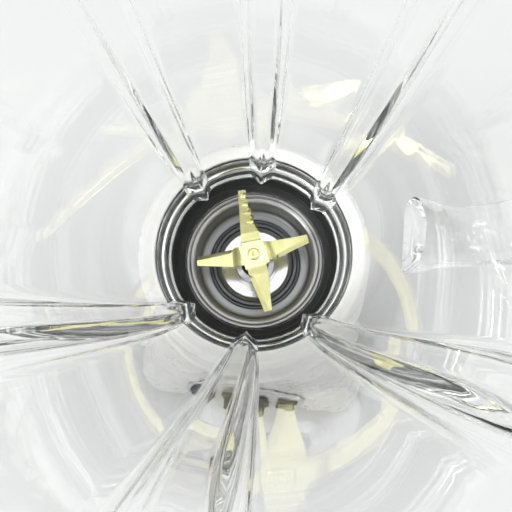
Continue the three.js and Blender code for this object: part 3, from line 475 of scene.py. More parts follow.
def lathe(name, outline, segments=128, ripple=None, sharp=32):
    """A piece turned about Z from a closed outline of (radius, height, fillet) corners."""
    points = filleted(outline)
    vertices, faces = [], []
    for s in range(segments):
        angle = 2 * math.pi * s / segments
        for point in points:
            r = max(point.x, 0.0)
            if ripple and r > 0:
                r += ripple(angle, point.x, point.y)
            vertices.append((r * math.cos(angle), r * math.sin(angle), point.y))
    count = len(points)
    for s in range(segments):
        near, far = s * count, (s + 1) % segments * count
        for i in range(count):
            j = (i + 1) % count
            corners = [near + i, far + i, far + j, near + j]
            if points[i].x <= 0 and points[j].x <= 0:
                continue
            if points[i].x <= 0:
                corners = [near + i, far + j, near + j]
            elif points[j].x <= 0:
                corners = [near + i, far + i, near + j]
            faces.append(corners)
    return new_object(name, vertices, faces, sharp)


def hoop(rings, closed=True):
    """Vertices and faces of a skin through equal rings of points, joined end to start if closed."""
    count = len(rings[0])
    vertices = [point for ring in rings for point in ring]
    faces = []
    for i in range(len(rings) if closed else len(rings) - 1):
        near, far = i * count, (i + 1) % len(rings) * count
        for j in range(count):
            k = (j + 1) % count
            faces.append([near + j, near + k, far + k, far + j])
    if not closed:
        faces.append(list(range(count))[::-1])
        faces.append([(len(rings) - 1) * count + j for j in range(count)])
    return vertices, faces


def smoothstep(value, low, high):
    """0 below low, 1 above high and a smooth step between."""
    t = min(max((value - low) / (high - low), 0.0), 1.0)
    return t * t * (3 - 2 * t)


# ---- Glass jar ----


def inside_radius(height):
    """The glass's inside radius between ribs, at a height above its bottom edge."""
    flare = MOUTH_RADIUS - GLASS_BOTTOM_RADIUS - TAPER * JAR_HEIGHT
    return GLASS_BOTTOM_RADIUS + flare * (1 - math.exp(-height / FLARE_HEIGHT)) + TAPER * height


def rib_depth(height):
    """How far a rib stands in: growing over the neck, full above it, fading out under the rim."""
    foot = 0.62 + 0.38 * smoothstep(height, 0, NECK_HEIGHT)
    return RIB_DEPTH * foot * smoothstep(JAR_HEIGHT - 16 - height, 0, 50)


def rib_share(degrees, height):
    """1 on a rib's crest and 0 between ribs: pointed at the glass's foot and broad above it."""
    away = min(abs(rib - degrees) for rib in RIB_ANGLES)
    away = math.hypot(away, 0.5) - 0.5
    share = max(0.0, 1 - away / RIB_HALF_ANGLE)
    broad = min(1.0, RIB_BREADTH * share)
    broad = (broad * broad * (3 - 2 * broad)) ** 0.8
    mix = smoothstep(height, 6, 40)
    return share ** 1.3 * (1 - mix) + broad * mix


def spout_bulge(degrees, height):
    """How far the spout pulls the wall out."""
    across = max(0.0, 1 - abs(degrees - 180) / 24)
    return 9 * across * across * (3 - 2 * across) * smoothstep(height, JAR_HEIGHT - 26, JAR_HEIGHT)


def glass_ring(height, outside, inset=0.0):
    """One ring of the glass. inset draws it into the glass, to round an edge."""
    ring = []
    for degrees in JAR_ANGLES:
        rib = rib_share(degrees, height) * rib_depth(height)
        bulge = spout_bulge(degrees, height)
        radius = inside_radius(height) - rib + bulge + inset
        if outside:
            bead = 1.3 * smoothstep(height, JAR_HEIGHT - 11, JAR_HEIGHT - 8)
            wall = inside_radius(height) + GLASS_WALL + bead + bulge - 0.7 * rib
            blend = smoothstep(height, NECK_HEIGHT - 1, NECK_HEIGHT + 4)
            radius = NECK_RADIUS + (wall - NECK_RADIUS) * blend - inset
        angle = math.radians(degrees)
        z = GLASS_LOW.z + height
        ring.append((radius * math.cos(angle), radius * math.sin(angle), z))
    return ring


def jar_angles():
    """Angles round the jar, close together on the ribs and at the spout."""
    angles = [0.0]
    while angles[-1] < 359.0:
        here = angles[-1]
        near_rib = min(abs(rib - here - 0.4) for rib in RIB_ANGLES) < RIB_HALF_ANGLE + 1
        angles.append(round(here + (0.75 if near_rib else 2.25), 4))
    return [a for a in angles if a < 359.6]


JAR_ANGLES = jar_angles()


def glass_heights():
    """Heights up the jar: close together in the neck and at the rim."""
    neck = [1.2 + i * (NECK_HEIGHT + 4 - 1.2) / 18 for i in range(19)]
    wall = [NECK_HEIGHT + 8 + i * 6.2 for i in range(25)]
    rim = [wall[-1] + (i + 1) * (JAR_HEIGHT - 1.6 - wall[-1]) / 10 for i in range(10)]
    return neck + wall + rim


def handle_mesh():
    """The glass handle: an oval section carried along a path in the XZ plane."""
    grip = GLASS_HIGH.x - 8.2
    rim = GLASS_HIGH.z
    knots = [
        (inside_radius(JAR_HEIGHT - 24) + 2.2, rim - 24), (grip - 10, rim - 22), (grip, rim - 34),
        (grip, rim - 78), (grip - 5, rim - 118), (grip - 17, rim - 137),
        (inside_radius(66) + 2.2, GLASS_LOW.z + 66),
    ]
    path = smooth_path([Vector((x, 0, z)) for x, z in knots], 60)
    rings = []
    for i, centre in enumerate(path):
        ahead = path[min(i + 1, len(path) - 1)] - path[max(i - 1, 0)]
        side = ahead.normalized().cross(Vector((0, 1, 0)))
        root = 1 + 0.28 * (1 - smoothstep(min(i, len(path) - 1 - i), 0, 7))
        ring = []
        for step in range(36):
            angle = 2 * math.pi * step / 36
            flat = abs(math.cos(angle)) ** 0.8 * math.copysign(1, math.cos(angle))
            offset = side * (6.5 * root * flat) + Vector((0, 10.5 * root * math.sin(angle), 0))
            ring.append(centre + offset)
        rings.append(ring)
    vertices, faces = hoop(rings, closed=False)
    return new_object("handle_tool", vertices, faces)


def smooth_path(knots, count):
    """Points on a smooth curve through the knots."""
    ends = [knots[0] * 2 - knots[1]] + knots + [knots[-1] * 2 - knots[-2]]
    points = []
    for i in range(count + 1):
        place = i / count * (len(knots) - 1)
        k = min(int(place), len(knots) - 2)
        t = place - k
        a, b, c, d = ends[k:k + 4]
        points.append(0.5 * (b * 2 + (c - a) * t + (a * 2 - b * 5 + c * 4 - d) * t ** 2
                             + (b * 3 - a - c * 3 + d) * t ** 3))
    return points


def add_glass_jar():
    heights = glass_heights()
    low = glass_ring(0, True, 1.2), glass_ring(0, False, 1.2)
    top = glass_ring(JAR_HEIGHT, True, 1.8), glass_ring(JAR_HEIGHT, False, 1.8)
    rings = [low[0]]
    rings += [glass_ring(height, True) for height in heights]
    rings += [glass_ring(JAR_HEIGHT - 0.5, True, 0.5), top[0], top[1]]
    rings += [glass_ring(JAR_HEIGHT - 0.5, False, 0.5)]
    rings += [glass_ring(height, False) for height in reversed(heights)]
    rings += [low[1]]
    vertices, faces = hoop(rings)
    jar = new_object("ribbed_glass_jar", vertices, faces, 60)
    combine(jar, handle_mesh(), "UNION")
    jar.data.set_sharp_from_angle(angle=math.radians(60))
    keep(jar, "jar", "glass", "glass_jar")


# ---- Bowl, collar and seals ----


def add_cutter_bowl():
    """The spun bowl: polished middle, stepped ring, flat floor, upright wall and rolled rim."""
    floor = BOWL_HIGH.z - 14.6
    rim = BOWL_HIGH.z
    sheet = 0.8
    outline = [
        (9.4, floor - 1.5, 0), (18.4, floor - 1.5, 0.5), (19.0, floor - 0.9, 0.3),
        (20.3, floor - 0.7, 0.3), (20.9, floor + 0.3, 0.3), (22.6, floor + 0.3, 0.4),
        (23.2, floor - 0.6, 0.2), (24.2, floor - 0.6, 0.2), (24.7, floor, 0.3),
        (28.2, floor, 0.8), (29.6, floor + 1.2, 0.8), (30.1, floor + 6, 2), (30.5, rim - 2.2, 0.6),
        (31.6, rim - 1.3, 0.5), (32.6, rim - 1.2, 0.4), (33.3, rim - 0.1, 0.6), (34.8, rim - 0.1, 0.7),
        (35.3, rim - 1.3, 0.6), (34.9, rim - 2.6, 0.3), (32.4, rim - 2.6, 0.3),
        (31.2, rim - 3.4, 0.5), (30.1 + sheet, floor + 5, 1), (29.4 + sheet, floor + 0.2, 0.6),
        (28.4, floor - sheet, 0.5), (24.2, floor - sheet, 0.3), (23.6, floor - 0.6 - sheet, 0.2),
        (22.2, floor - sheet, 0.3), (19.6, floor - 1.4 - sheet, 0.3), (9.4, floor - 1.5 - sheet, 0),
    ]
    keep(lathe("stepped_bowl", outline, 192), "jar", "steel", "cutter_bowl", material="bowl_steel")


def add_collar():
    """The collar round the jar's foot, with grip flutes on its side and a funnel inside."""
    low, high = COLLAR_LOW.z, COLLAR_HIGH.z
    seat = GLASS_LOW.z - 3.5
    rim = BOWL_HIGH.z
    outer = COLLAR_HIGH.x
    bore = NECK_RADIUS + 0.6
    funnel = BOWL_HIGH.x + 0.9
    grip = [(outer, low + 22 + i * 1.8, 0) for i in range(1, 21)]
    outline = [
        (52.5, low, 0.4), (55.5, low, 0.8), (55.5, low + 17, 1), (outer, low + 21, 1.2), *grip,
        (outer, high - 5, 2), (outer - 4, high, 1.5), (bore, high, 0.8), (bore, seat, 0.1),
        (funnel + 6.1, seat, 0.3), (funnel + 2.3, rim, 0.1), (funnel, rim, 0.2), (funnel, rim - 3, 0.1),
        (31.9, rim - 3, 0.2), (31.9, rim - 6, 0.3), (38.5, rim - 6, 0.5), (41.2, seat - 4, 1),
        (52.5, seat - 4, 1),
    ]

    def flutes(angle, radius, height):
        inside = smoothstep(height, low + 23, low + 27) * (1 - smoothstep(height, high - 9, high - 5))
        wave = max(0.0, math.cos(angle * 36)) ** 0.7
        return -1.1 * inside * wave if radius > outer - 1 else 0.0

    keep(lathe("fluted_collar", outline, 432, flutes), "jar", "housing", "jar_collar")


def add_jar_seal():
    """The rubber seal: a flat under the glass and a funnel-shaped lip down to the bowl's rim."""
    low, high = SEAL_LOW.z, SEAL_HIGH.z
    outer = SEAL_HIGH.x
    lip = BOWL_HIGH.x + 0.1
    outline = [
        (lip, low, 0.2), (lip + 2.8, low, 0.3), (lip + 6.6, high - 2.9, 0.5), (outer, high - 2.9, 0.3),
        (outer, high, 0.4), (outer - 1.6, high, 0.2), (outer - 2.0, high - 0.5, 0.2),
        (outer - 2.6, high - 0.5, 0.2), (outer - 3.0, high, 0.2), (GLASS_BOTTOM_RADIUS + 0.3, high, 0.3),
        (GLASS_BOTTOM_RADIUS + 0.3, high - 1.2, 0.5), (lip + 3.0, low + 3.4, 0), (lip + 2.5, low + 3.3, 0.2),
        (lip + 2.3, low + 2.7, 0.2), (lip + 0.5, low + 1.0, 0.3), (lip, low + 0.8, 0.1),
    ]
    keep(lathe("funnel_seal", outline, 192), "jar", "rubber", "jar_seal")


# ---- Cutter ----

ARMS = {
    "serrated_up": dict(turn=106.4, reach=29.5, root=9.2, tip=3.6, bend=2.6, rise=8.5, teeth=4),
    "plain_up": dict(turn=289.4, reach=28.0, root=9.4, tip=3.6, bend=2.6, rise=6.0, teeth=0),
    "right_down": dict(turn=24.4, reach=28.2, root=9.4, tip=4.2, bend=-3.9, rise=-4.6, teeth=0),
    "left_down": dict(turn=190.4, reach=28.2, root=9.4, tip=4.6, bend=-3.9, rise=-4.6, teeth=0),
}
BLADE_THICKNESS = 1.8
HUB_HALF = 6.0
BEND_LENGTH = 5.0


def arm_height(along, arm):
    """The height of an arm's top face over the hub: a tight bend, then a nearly straight run."""
    bend_end = HUB_HALF + BEND_LENGTH
    if along <= bend_end:
        straight = min(max((along - HUB_HALF - 0.4) / (BEND_LENGTH - 0.8), 0.0), 1.0)
        soft = smoothstep(along, HUB_HALF, bend_end)
        return arm["bend"] * (0.7 * straight + 0.3 * soft)
    share = (along - bend_end) / (arm["reach"] - bend_end)
    return arm["bend"] + (arm["rise"] - arm["bend"]) * share


def edge_bite(along, arm):
    """0 to 1: how far the teeth bite into the cutting edge at a distance from the hub."""
    share = (along - 13) / (arm["reach"] - 1.0 - 13)
    if not arm["teeth"] or not 0 < share < 1:
        return 0.0
    return 1 - abs(math.cos(math.pi * arm["teeth"] * share)) ** 1.6


def add_blade(name, top, node, arms):
    """A blade: a square hub with a round hole, two bent arms with ground cutting edges."""
    parts = []
    for arm in arms:
        rings = []
        stations = [1.5 + i * (arm["reach"] - 1.5) / 70 for i in range(71)]
        for along in stations:
            share = smoothstep(along, HUB_HALF, arm["reach"]) * 0.25
            linear = max(0.0, (along - HUB_HALF - 3) / (arm["reach"] - HUB_HALF - 3))
            width = arm["root"] + (arm["tip"] - arm["root"]) * (linear * 0.75 + share)
            z = top + arm_height(along, arm)
            bite = edge_bite(along, arm)
            ground = 0.9 + 2.3 * bite if arm["teeth"] else 1.9
            grind = min(ground * smoothstep(along, HUB_HALF + 3, HUB_HALF + 6), width * 0.5)
            cut = -width / 2 + 1.2 * bite
            back = width / 2
            low = z - BLADE_THICKNESS
            thin = z - BLADE_THICKNESS + (0.25 if grind > 0.2 else BLADE_THICKNESS - 0.15)
            rings.append([
                (along, cut, low), (along, back - 0.15, low), (along, back, low + 0.15),
                (along, back, z - 0.15), (along, back - 0.15, z), (along, cut + grind + 0.1, z),
                (along, cut, min(thin, z - 0.1)),
            ])
        vertices, faces = hoop(rings, closed=False)
        turn = Matrix.Rotation(math.radians(arm["turn"]), 3, "Z")
        parts.append(new_object("arm_tool", [turn @ Vector(v) for v in vertices], faces, 25))
    hub = square_hub("hub_tool", top)
    for part in parts:
        combine(hub, part, "UNION")
    hole = lathe("hole_tool", [(0, top - 9, 0), (3.1, top - 9, 0), (3.1, top + 9, 0), (0, top + 9, 0)], 64)
    combine(hub, hole, "DIFFERENCE")
    hub.name = name
    hub.data.set_sharp_from_angle(angle=math.radians(25))
    keep(hub, "cutter", "blade_gold", node)


def square_hub(name, top):
    """The flat square in the middle of a blade, with its edges eased."""
    low = top - BLADE_THICKNESS
    rings = []
    for half, z in [(5.85, low), (6.0, low + 0.15), (6.0, top - 0.15), (5.85, top)]:
        turn = math.radians(24.4)
        ring = []
        for x, y in [(half, half), (-half, half), (-half, -half), (half, -half)]:
            corner = (x * math.cos(turn) - y * math.sin(turn), x * math.sin(turn) + y * math.cos(turn), z)
            ring.append(corner)
        rings.append(ring)
    vertices, faces = hoop(rings, closed=False)
    return new_object(name, vertices, faces)


def add_blade_shaft():
    """The stub shaft, its shoulder, and the riveted end with a centre dimple on top of the hub."""
    low, high = box_mm("blade_shaft")
    floor = BOWL_HIGH.z - 14.6
    shoulder = HUB_TOP - 2 * BLADE_THICKNESS - 0.6
    outline = [
        (0, low.z, 0), (4, low.z, 0.4), (4, floor + 5, 0.2), (5.5, floor + 6, 0.3),
        (5.5, shoulder, 0.3), (2.8, shoulder, 0), (2.8, HUB_TOP + 0.1, 0.1), (2.75, high.z - 0.25, 0.2),
        (2.2, high.z, 0.3), (1.0, high.z, 0.2), (0.5, high.z - 0.55, 0.2), (0, high.z - 0.6, 0),
    ]
    keep(lathe("stub_shaft", outline, 72), "cutter", "blade_gold", "blade_shaft")


# ---- Base ----


def shell_sizes(z):
    """Half width, half depth and corner radius of the housing's outside at a height."""
    top = SHELL_HIGH.z
    half_x, half_y = SHELL_HIGH.x, SHELL_HIGH.y
    knots = [
        (SHELL_LOW.z, half_x - 2, half_y - 2, 24.0), (SKIRT_Z, half_x, half_y, 26.0),
        (SHOULDER_Z, 76.0, 76.0, 40.0), (top - 24, 73.0, 73.0, 58.0), (top, 70.5, 70.5, 70.0),
    ]
    z = min(max(z, knots[0][0]), knots[-1][0])
    for low, high in zip(knots, knots[1:]):
        if z <= high[0]:
            t = (z - low[0]) / (high[0] - low[0])
            return [a + (b - a) * t for a, b in zip(low[1:], high[1:])]
    return list(knots[-1][1:])


def smooth_shell_sizes(z):
    """The same, averaged over a few millimetres of height so that its creases are soft."""
    reach = min(9.0, z - SHELL_LOW.z, SHELL_HIGH.z - z)
    samples = [shell_sizes(z + reach * step / 4) for step in range(-4, 5)]
    return [sum(values) / len(samples) for values in zip(*samples)]


def rounded_ring(half_x, half_y, corner, z, steps=20):
    """The points of a rounded rectangle at one height."""
    points = []
    corner = min(corner, half_x, half_y)
    for quarter in range(4):
        centre_x = (1 if quarter in (0, 3) else -1) * (half_x - corner)
        centre_y = (1 if quarter < 2 else -1) * (half_y - corner)
        for step in range(steps + 1):
            angle = (quarter + step / steps) * math.pi / 2
            points.append((centre_x + corner * math.cos(angle), centre_y + corner * math.sin(angle), z))
    return points


def face_frame(z, side):
    """The frame of the housing's front or back slope: x right, y up the slope, z out of it."""
    half_y = SHELL_HIGH.y - (z - SKIRT_Z) * math.tan(SLOPE)
    up = Vector((0, -side * math.sin(SLOPE), math.cos(SLOPE)))
    out = Vector((0, side * math.cos(SLOPE), math.sin(SLOPE)))
    right = up.cross(out)
    turn = Matrix((right, up, out)).transposed().to_4x4()
    return Matrix.Translation(Vector((0, side * half_y, z))) @ turn


PANEL_Z = 54.0
PANEL_FACE = 2.8
TICK_STEP = 15
TICKS = 17
PANEL_FRAME = face_frame(PANEL_Z, -1)
REAR_FRAME = face_frame(32.0, 1)
BUTTONS = {"pulse": (-33, -13), "ice": (-33, 13), "low": (33, 13), "high": (33, -13)}


def moved(piece, matrix):
    """Moves a piece's mesh by a matrix given in millimetres."""
    in_metres = matrix.copy()
    in_metres.translation *= MM
    piece.data.transform(in_metres)
    piece.data.update()
    return piece


def rounded_block(name, half_x, half_y, corner, levels, steps=8):
    """A block of rounded rectangles: levels are (height, inset) pairs from the bottom up."""
    rings = [rounded_ring(half_x - inset, half_y - inset, max(corner - inset, 0.05), z, steps)
             for z, inset in levels]
    vertices, faces = hoop(rings, closed=False)
    return new_object(name, vertices, faces)


def add_base_shell():
    """The housing: soft-edged outside, well for the jar on top, and hollow inside."""
    top, low = SHELL_HIGH.z, SHELL_LOW.z
    rings = [rounded_ring(*[size - 1.2 for size in smooth_shell_sizes(low)], low)]
    outside = [low + 1.2 + i * (top - 4.2 - low) / 60 for i in range(61)]
    rings += [rounded_ring(*smooth_shell_sizes(z), z) for z in outside]
    deck = smooth_shell_sizes(outside[-1])
    for step in range(1, 6):
        angle = step / 5 * math.pi / 2
        inset = 3.0 * (1 - math.cos(angle))
        rings.append(rounded_ring(*[size - inset for size in deck], top - 3.0 + 3.0 * math.sin(angle)))
    mouth = [(60.9, top), (60.4, top - 0.2), (60.3, top - 0.7), (60.3, top - 3.5)]
    rings += [rounded_ring(radius, radius, radius, z) for radius, z in mouth]
    for z in reversed(outside[:-2]):
        sizes = smooth_shell_sizes(z)
        rings.append(rounded_ring(*[size - SHELL_WALL for size in sizes], z))
    rings.append(rounded_ring(*[size - SHELL_WALL for size in smooth_shell_sizes(low)], low))
    vertices, faces = hoop(rings)
    shell = new_object("housing_shell", vertices, faces)
    for tool in shell_holes():
        combine(shell, tool, "DIFFERENCE")
    keep(shell, "base", "housing", "base_shell")


def shell_holes():
    """Holes for the knob's shaft, the buttons, the cord inlet and the air slots at the back."""
    holes = []
    for x, y in BUTTONS.values():
        hole = rounded_block("hole_tool", 8, 6, 2, [(-9, 0), (9, 0)])
        holes.append(moved(hole, PANEL_FRAME @ Matrix.Translation((x, y, 0))))
    shaft = lathe("hole_tool", [(0, -9, 0), (4.5, -9, 0), (4.5, 9, 0), (0, 9, 0)], 48)
    holes.append(moved(shaft, PANEL_FRAME))
    inlet = lathe("hole_tool", [(0, -9, 0), (6.8, -9, 0), (6.8, 9, 0), (0, 9, 0)], 48)
    holes.append(moved(inlet, REAR_FRAME))
    rear = face_frame(SHOULDER_Z - 30, 1)
    for i in range(-3, 4):
        slot = rounded_block("hole_tool", 1.8, 12, 1.7, [(-9, 0), (9, 0)])
        holes.append(moved(slot, rear @ Matrix.Translation((i * 9, 0, 0))))
    return holes


def add_jar_seat():
    """The cup in the housing's mouth, with a soft inner edge and a raised lip round its hole."""
    low, high = box_mm("jar_seat")
    floor = low.z + 3
    outline = [
        (18, low.z, 0.3), (60, low.z, 1), (60, high.z, 0.5), (57, high.z, 1.4), (57, floor, 1.2),
        (20.5, floor, 0.2), (18, floor, 0.4),
    ]
    keep(lathe("jar_seat_cup", outline, 160), "base", "housing", "jar_seat")


def add_feet():
    """Four rubber feet with a stepped rim."""
    top = FOOT_HIGH.z
    outline = [
        (0, 0.6, 0), (7, 0.6, 0.3), (7.6, 0, 0.3), (9.6, 0, 0.5), (11, 1.6, 0.8), (11, top - 2, 0.4),
        (10.2, top - 1.5, 0.3), (10.2, top, 0.2), (0, top, 0),
    ]
    for i in range(1, 5):
        node = f"foot_{i}"
        low, high = box_mm(node)
        centre = (low + high) / 2
        foot = lathe(f"rubber_foot_{i}", outline, 64)
        moved(foot, Matrix.Translation((centre.x, centre.y, 0)))
        keep(foot, "base", "rubber", node)


def add_cord_inlet():
    """The bushing in the back wall, with a flange outside."""
    outline = [
        (3.6, -8, 0.3), (6.5, -8, 0.5), (6.5, 0.3, 0.1), (10.4, 0.3, 0.3), (10, 1.8, 0.8),
        (7, 3.4, 1.5), (4.8, 4, 0.6), (3.6, 4, 0.4),
    ]
    keep(moved(lathe("cord_bushing", outline, 64), REAR_FRAME), "base", "rubber", "cord_inlet")


# ---- Controls ----


def add_control_panel():
    """The brushed plate with eased edges and holes, and its printed scale."""
    levels = [(0.3, 0.3), (0.5, 0), (2.1, 0), (2.5, 0.12), (PANEL_FACE, 0.5)]
    plate = rounded_block("panel_plate", 46, 30, 12, levels, 12)
    for x, y in BUTTONS.values():
        hole = rounded_block("hole_tool", 8, 6, 2, [(-9, 0), (9, 0)])
        combine(plate, moved(hole, Matrix.Translation((x, y, 0))), "DIFFERENCE")
    shaft = lathe("hole_tool", [(0, -9, 0), (4.5, -9, 0), (4.5, 9, 0), (0, 9, 0)], 48)
    combine(plate, shaft, "DIFFERENCE")
    keep(moved(plate, PANEL_FRAME), "base", "steel", "control_panel", material="panel_steel")
    add_scale()


def add_scale():
    """Ticks and plain numbers round the knob, standing a tenth of a millimetre proud."""
    vertices, faces = [], []
    for step in range(TICKS):
        angle = math.radians(90 - step * TICK_STEP)
        longer = 1.6 if step % 3 == 0 else 0.8
        along = Vector((math.cos(angle), math.sin(angle), 0))
        across = Vector((-along.y, along.x, 0)) * 0.16
        inner, outer = along * 20.2, along * (20.2 + longer)
        start = len(vertices)
        for height in (PANEL_FACE, PANEL_FACE + 0.1):
            lift = Vector((0, 0, height))
            outline = (inner - across, outer - across, outer + across, inner + across)
            vertices += [corner + lift for corner in outline]
        faces += [[start + i for i in quad] for quad in
                  [(3, 2, 1, 0), (4, 5, 6, 7), (0, 1, 5, 4), (1, 2, 6, 5), (2, 3, 7, 6), (3, 0, 4, 7)]]
    ticks = new_object("dial_ticks", vertices, faces)
    keep(moved(ticks, PANEL_FRAME), "base", "dark_plastic")
    for number in range(6):
        angle = math.radians(90 - number * 45)
        data = bpy.data.curves.new(f"dial_{number}", "FONT")
        data.body = str(number)
        data.size = 3.4 * MM
        data.align_x = "CENTER"
        data.align_y = "CENTER"
        data.extrude = 0.05 * MM
        text = bpy.data.objects.new(f"dial_{number}", data)
        bpy.context.scene.collection.objects.link(text)
        bpy.context.view_layer.update()
        graph = bpy.context.evaluated_depsgraph_get()
        mesh = bpy.data.meshes.new_from_object(text.evaluated_get(graph))
        bpy.data.objects.remove(text)
        made = bpy.data.objects.new(f"dial_{number}", mesh)
        bpy.context.scene.collection.objects.link(made)
        offset = Vector((math.cos(angle) * 24.3, math.sin(angle) * 24.3, PANEL_FACE + 0.06))
        moved(made, PANEL_FRAME @ Matrix.Translation(offset))
        keep(made, "base", "dark_plastic")


def add_knob():
    """The speed knob: a skirt, a fluted grip, a dished top and a white pointer."""
    face = 3.1
    top = face + 10
    outline = [
        (0, face, 0), (19, face, 0.4), (19, face + 1.8, 0.7), (16.4, face + 3.2, 0.8),
        (16.2, face + 4, 0), (16.1, face + 6, 0), (15.9, top - 1.6, 0), (15, top, 0.9), (12.6, top, 0.5),
        (11.4, top - 0.7, 0.8), (0, top - 0.9, 0),
    ]

    def flutes(angle, radius, height):
        body = smoothstep(height, face + 2.8, face + 4) * (1 - smoothstep(height, top - 1.2, top))
        return -0.55 * body * max(0.0, math.cos(angle * 30)) if radius > 14.5 else 0.0

    knob = lathe("fluted_knob", outline, 360, flutes)
    keep(moved(knob, PANEL_FRAME), "knob", "dark_plastic", "speed_knob")
    levels = [(top - 1.2, 0), (top + 0.35, 0), (top + 0.5, 0.15)]
    pointer = rounded_block("knob_pointer", 0.7, 3.1, 0.6, levels)
    moved(pointer, PANEL_FRAME @ Matrix.Translation((0, 11.6, 0)))
    keep(pointer, "knob", "dark_plastic", material="print_white")


def add_buttons():
    """Four push buttons with soft edges, a shallow dish and a retaining flange behind the wall."""
    for body, (x, y) in BUTTONS.items():
        levels = [
            (-6.0, 0), (-3.6, 0), (-3.5, 1.9), (4.4, 2.0),
            (5.2, 2.25), (5.55, 2.8), (5.6, 3.6), (5.35, 5.0),
        ]
        cap = rounded_block(f"{body}_cap", 9.5, 7.5, 4, levels, 10)
        moved(cap, PANEL_FRAME @ Matrix.Translation((x, y, 0)))
        keep(cap, body, "dark_plastic", f"{body}_button")


# ---- Lid ----


def add_lid():
    low, high = LID_LOW.z, LID_HIGH.z
    rest = high - 13
    hole = 24.2
    outline = [
        (hole, high - 7.5, 0.6), (53.5, rest + 4.2, 3), (55.5, rest + 1.5, 2), (55.5, low, 0.8),
        (58.5, low, 0.8), (58.5, rest, 0.4), (LID_HIGH.x - 1, rest, 0.8), (LID_HIGH.x, rest + 3.5, 1.6),
        (62.5, rest + 7, 4), (hole + 6.5, high - 3.6, 2.5), (hole + 4, high, 1.2), (hole, high, 0.8),
    ]
    keep(lathe("clear_lid", outline, 160), "lid_cover", "clear_plastic", "lid")


def add_lid_seal():
    low, high = LID_SEAL_LOW.z, LID_SEAL_HIGH.z
    outer = LID_SEAL_HIGH.x
    outline = [
        (58.8, low, 0.3), (outer - 1.2, low, 0.4), (outer, low + 1.8, 0.8), (outer - 1.2, low + 3, 0.4),
        (outer, low + 4.6, 0.8), (outer - 1.2, low + 5.8, 0.4), (outer, low + 7.4, 0.8),
        (outer - 1.2, high, 0.4), (58.8, high, 0.3),
    ]
    keep(lathe("finned_seal", outline, 160), "lid_cover", "rubber", "lid_seal")


def add_measuring_cap():
    low, high = CAP_LOW.z, CAP_HIGH.z
    rest = high - 17
    outline = [
        (0, high - 3, 0), (17, high - 3, 2), (19.1, rest + 3, 3), (21.0, low, 0.5), (23.6, low, 0.6),
        (23.6, rest, 0.3), (27.6, rest, 0.5), (27.6, rest + 3, 1.2), (22.8, rest + 4.4, 1.5),
        (21.5, high - 2.2, 1.5), (19.3, high, 2), (0, high, 0),
    ]
    keep(lathe("clear_cap", outline, 128), "cap", "clear_plastic", "measuring_cap")


# ---- CAD nodes that stay as they are ----

EASE_WIDTH = 0.25
EASE_ANGLE = math.radians(35)


def dress_kept_nodes():
    """Every CAD node gets its slot's material and slightly eased edges."""
    slots = {part["node"]: part["material_slot"] for part in frame["record"]["subparts"]}
    for name, node in frame["nodes"].items():
        node.data.materials.clear()
        node.data.materials.append(MATERIALS[slots[name]])
        ease = node.modifiers.new("ease", "BEVEL")
        ease.width = EASE_WIDTH * MM
        ease.segments = 2
        ease.limit_method = "ANGLE"
        ease.angle_limit = EASE_ANGLE


# ---- Stage ----

FLOOR_REACH = 30.0
FLOOR_COLOUR = (0.74, 0.74, 0.74, 1)
SKY_STRENGTH = 1.22
PERSON_TILT = math.radians(21)
PERSON_RAMP = ((0.905, (1, 1, 1)), (0.965, (0.12, 0.12, 0.125)))
HORIZON_RAMP = ((0.0, (0.5, 0.5, 0.51)), (0.75, (1, 1, 1)))

# Name, place in metres, side in metres and power in watts
LAMPS = (
    ("key", (-1.3, -1.1, 1.5), 0.8, 16),
    ("fill", (1.6, 0.3, 1.0), 1.0, 3),
    ("overhead", (-0.04, 0.22, 1.9), 0.4, 1.1),
)


def add_floor():
    """A plain pale floor, wide enough that its edge stays far away."""
    corners = [(-FLOOR_REACH, -FLOOR_REACH, 0), (FLOOR_REACH, -FLOOR_REACH, 0),
               (FLOOR_REACH, FLOOR_REACH, 0), (-FLOOR_REACH, FLOOR_REACH, 0)]
    mesh = bpy.data.meshes.new("floor")
    mesh.from_pydata(corners, [], [(0, 1, 2, 3)])
    floor = bpy.data.objects.new("floor", mesh)
    bpy.context.scene.collection.objects.link(floor)
    nodes = Nodes("floor")
    nodes.set(Base_Color=FLOOR_COLOUR, Roughness=0.7)
    mesh.materials.append(nodes.material)


def sky_ramp(tree, value, low, high):
    """A ramp between two (position, colour) ends in the sky's node tree."""
    ramp = tree.nodes.new("ShaderNodeValToRGB")
    for end, (position, colour) in zip(ramp.color_ramp.elements, (low, high)):
        end.position = position
        end.color = (*colour, 1)
    tree.links.new(value, ramp.inputs["Fac"])
    return ramp.outputs["Color"]


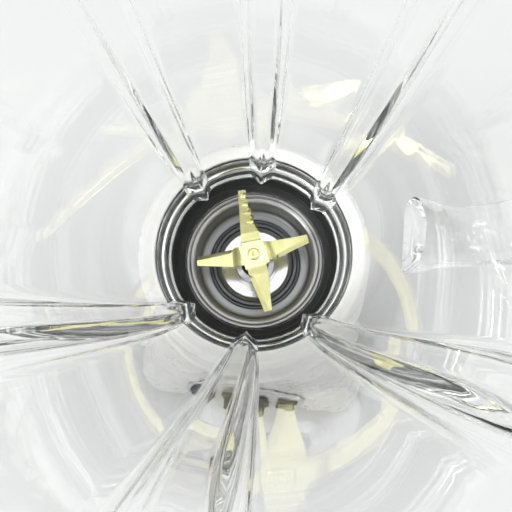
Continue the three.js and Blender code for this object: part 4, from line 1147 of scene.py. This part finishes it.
def add_sky():
    """A pale sky, darker toward the horizon, with a dark patch where a person looks in."""
    world = bpy.data.worlds.new("sky")
    world.use_nodes = True
    bpy.context.scene.world = world
    tree = world.node_tree
    background = tree.nodes["Background"]
    where = tree.nodes.new("ShaderNodeTexCoord").outputs["Generated"]
    toward = tree.nodes.new("ShaderNodeVectorMath")
    toward.operation = "DOT_PRODUCT"
    toward.inputs[1].default_value = (0, -math.sin(PERSON_TILT), math.cos(PERSON_TILT))
    tree.links.new(where, toward.inputs[0])
    split = tree.nodes.new("ShaderNodeSeparateXYZ")
    tree.links.new(where, split.inputs[0])
    both = tree.nodes.new("ShaderNodeMixRGB")
    both.blend_type = "MULTIPLY"
    both.inputs["Fac"].default_value = 1
    person = sky_ramp(tree, toward.outputs["Value"], *PERSON_RAMP)
    height = sky_ramp(tree, split.outputs["Z"], *HORIZON_RAMP)
    tree.links.new(person, both.inputs["Color1"])
    tree.links.new(height, both.inputs["Color2"])
    tree.links.new(both.outputs["Color"], background.inputs["Color"])
    background.inputs["Strength"].default_value = SKY_STRENGTH


def add_lamp(name, place, size, power):
    """A square soft lamp aimed at the middle of the blender."""
    data = bpy.data.lights.new(name, "AREA")
    data.size = size
    data.energy = power
    lamp = bpy.data.objects.new(name, data)
    bpy.context.scene.collection.objects.link(lamp)
    lamp.location = place
    aim = Vector((0, 0, 0.2)) - Vector(place)
    lamp.rotation_mode = "QUATERNION"
    lamp.rotation_quaternion = aim.to_track_quat("-Z", "Y")


dress_kept_nodes()
add_floor()
add_sky()
for lamp_values in LAMPS:
    add_lamp(*lamp_values)
add_glass_jar()
add_cutter_bowl()
add_collar()
add_jar_seal()
add_blade("upper_blade_ground", HUB_TOP, "upper_blade", [ARMS["serrated_up"], ARMS["plain_up"]])
add_blade("lower_blade_ground", HUB_TOP - BLADE_THICKNESS - 0.3, "lower_blade",
          [ARMS["right_down"], ARMS["left_down"]])
add_blade_shaft()
add_base_shell()
add_jar_seat()
add_feet()
add_cord_inlet()
add_control_panel()
add_knob()
add_buttons()
add_lid()
add_lid_seal()
add_measuring_cap()
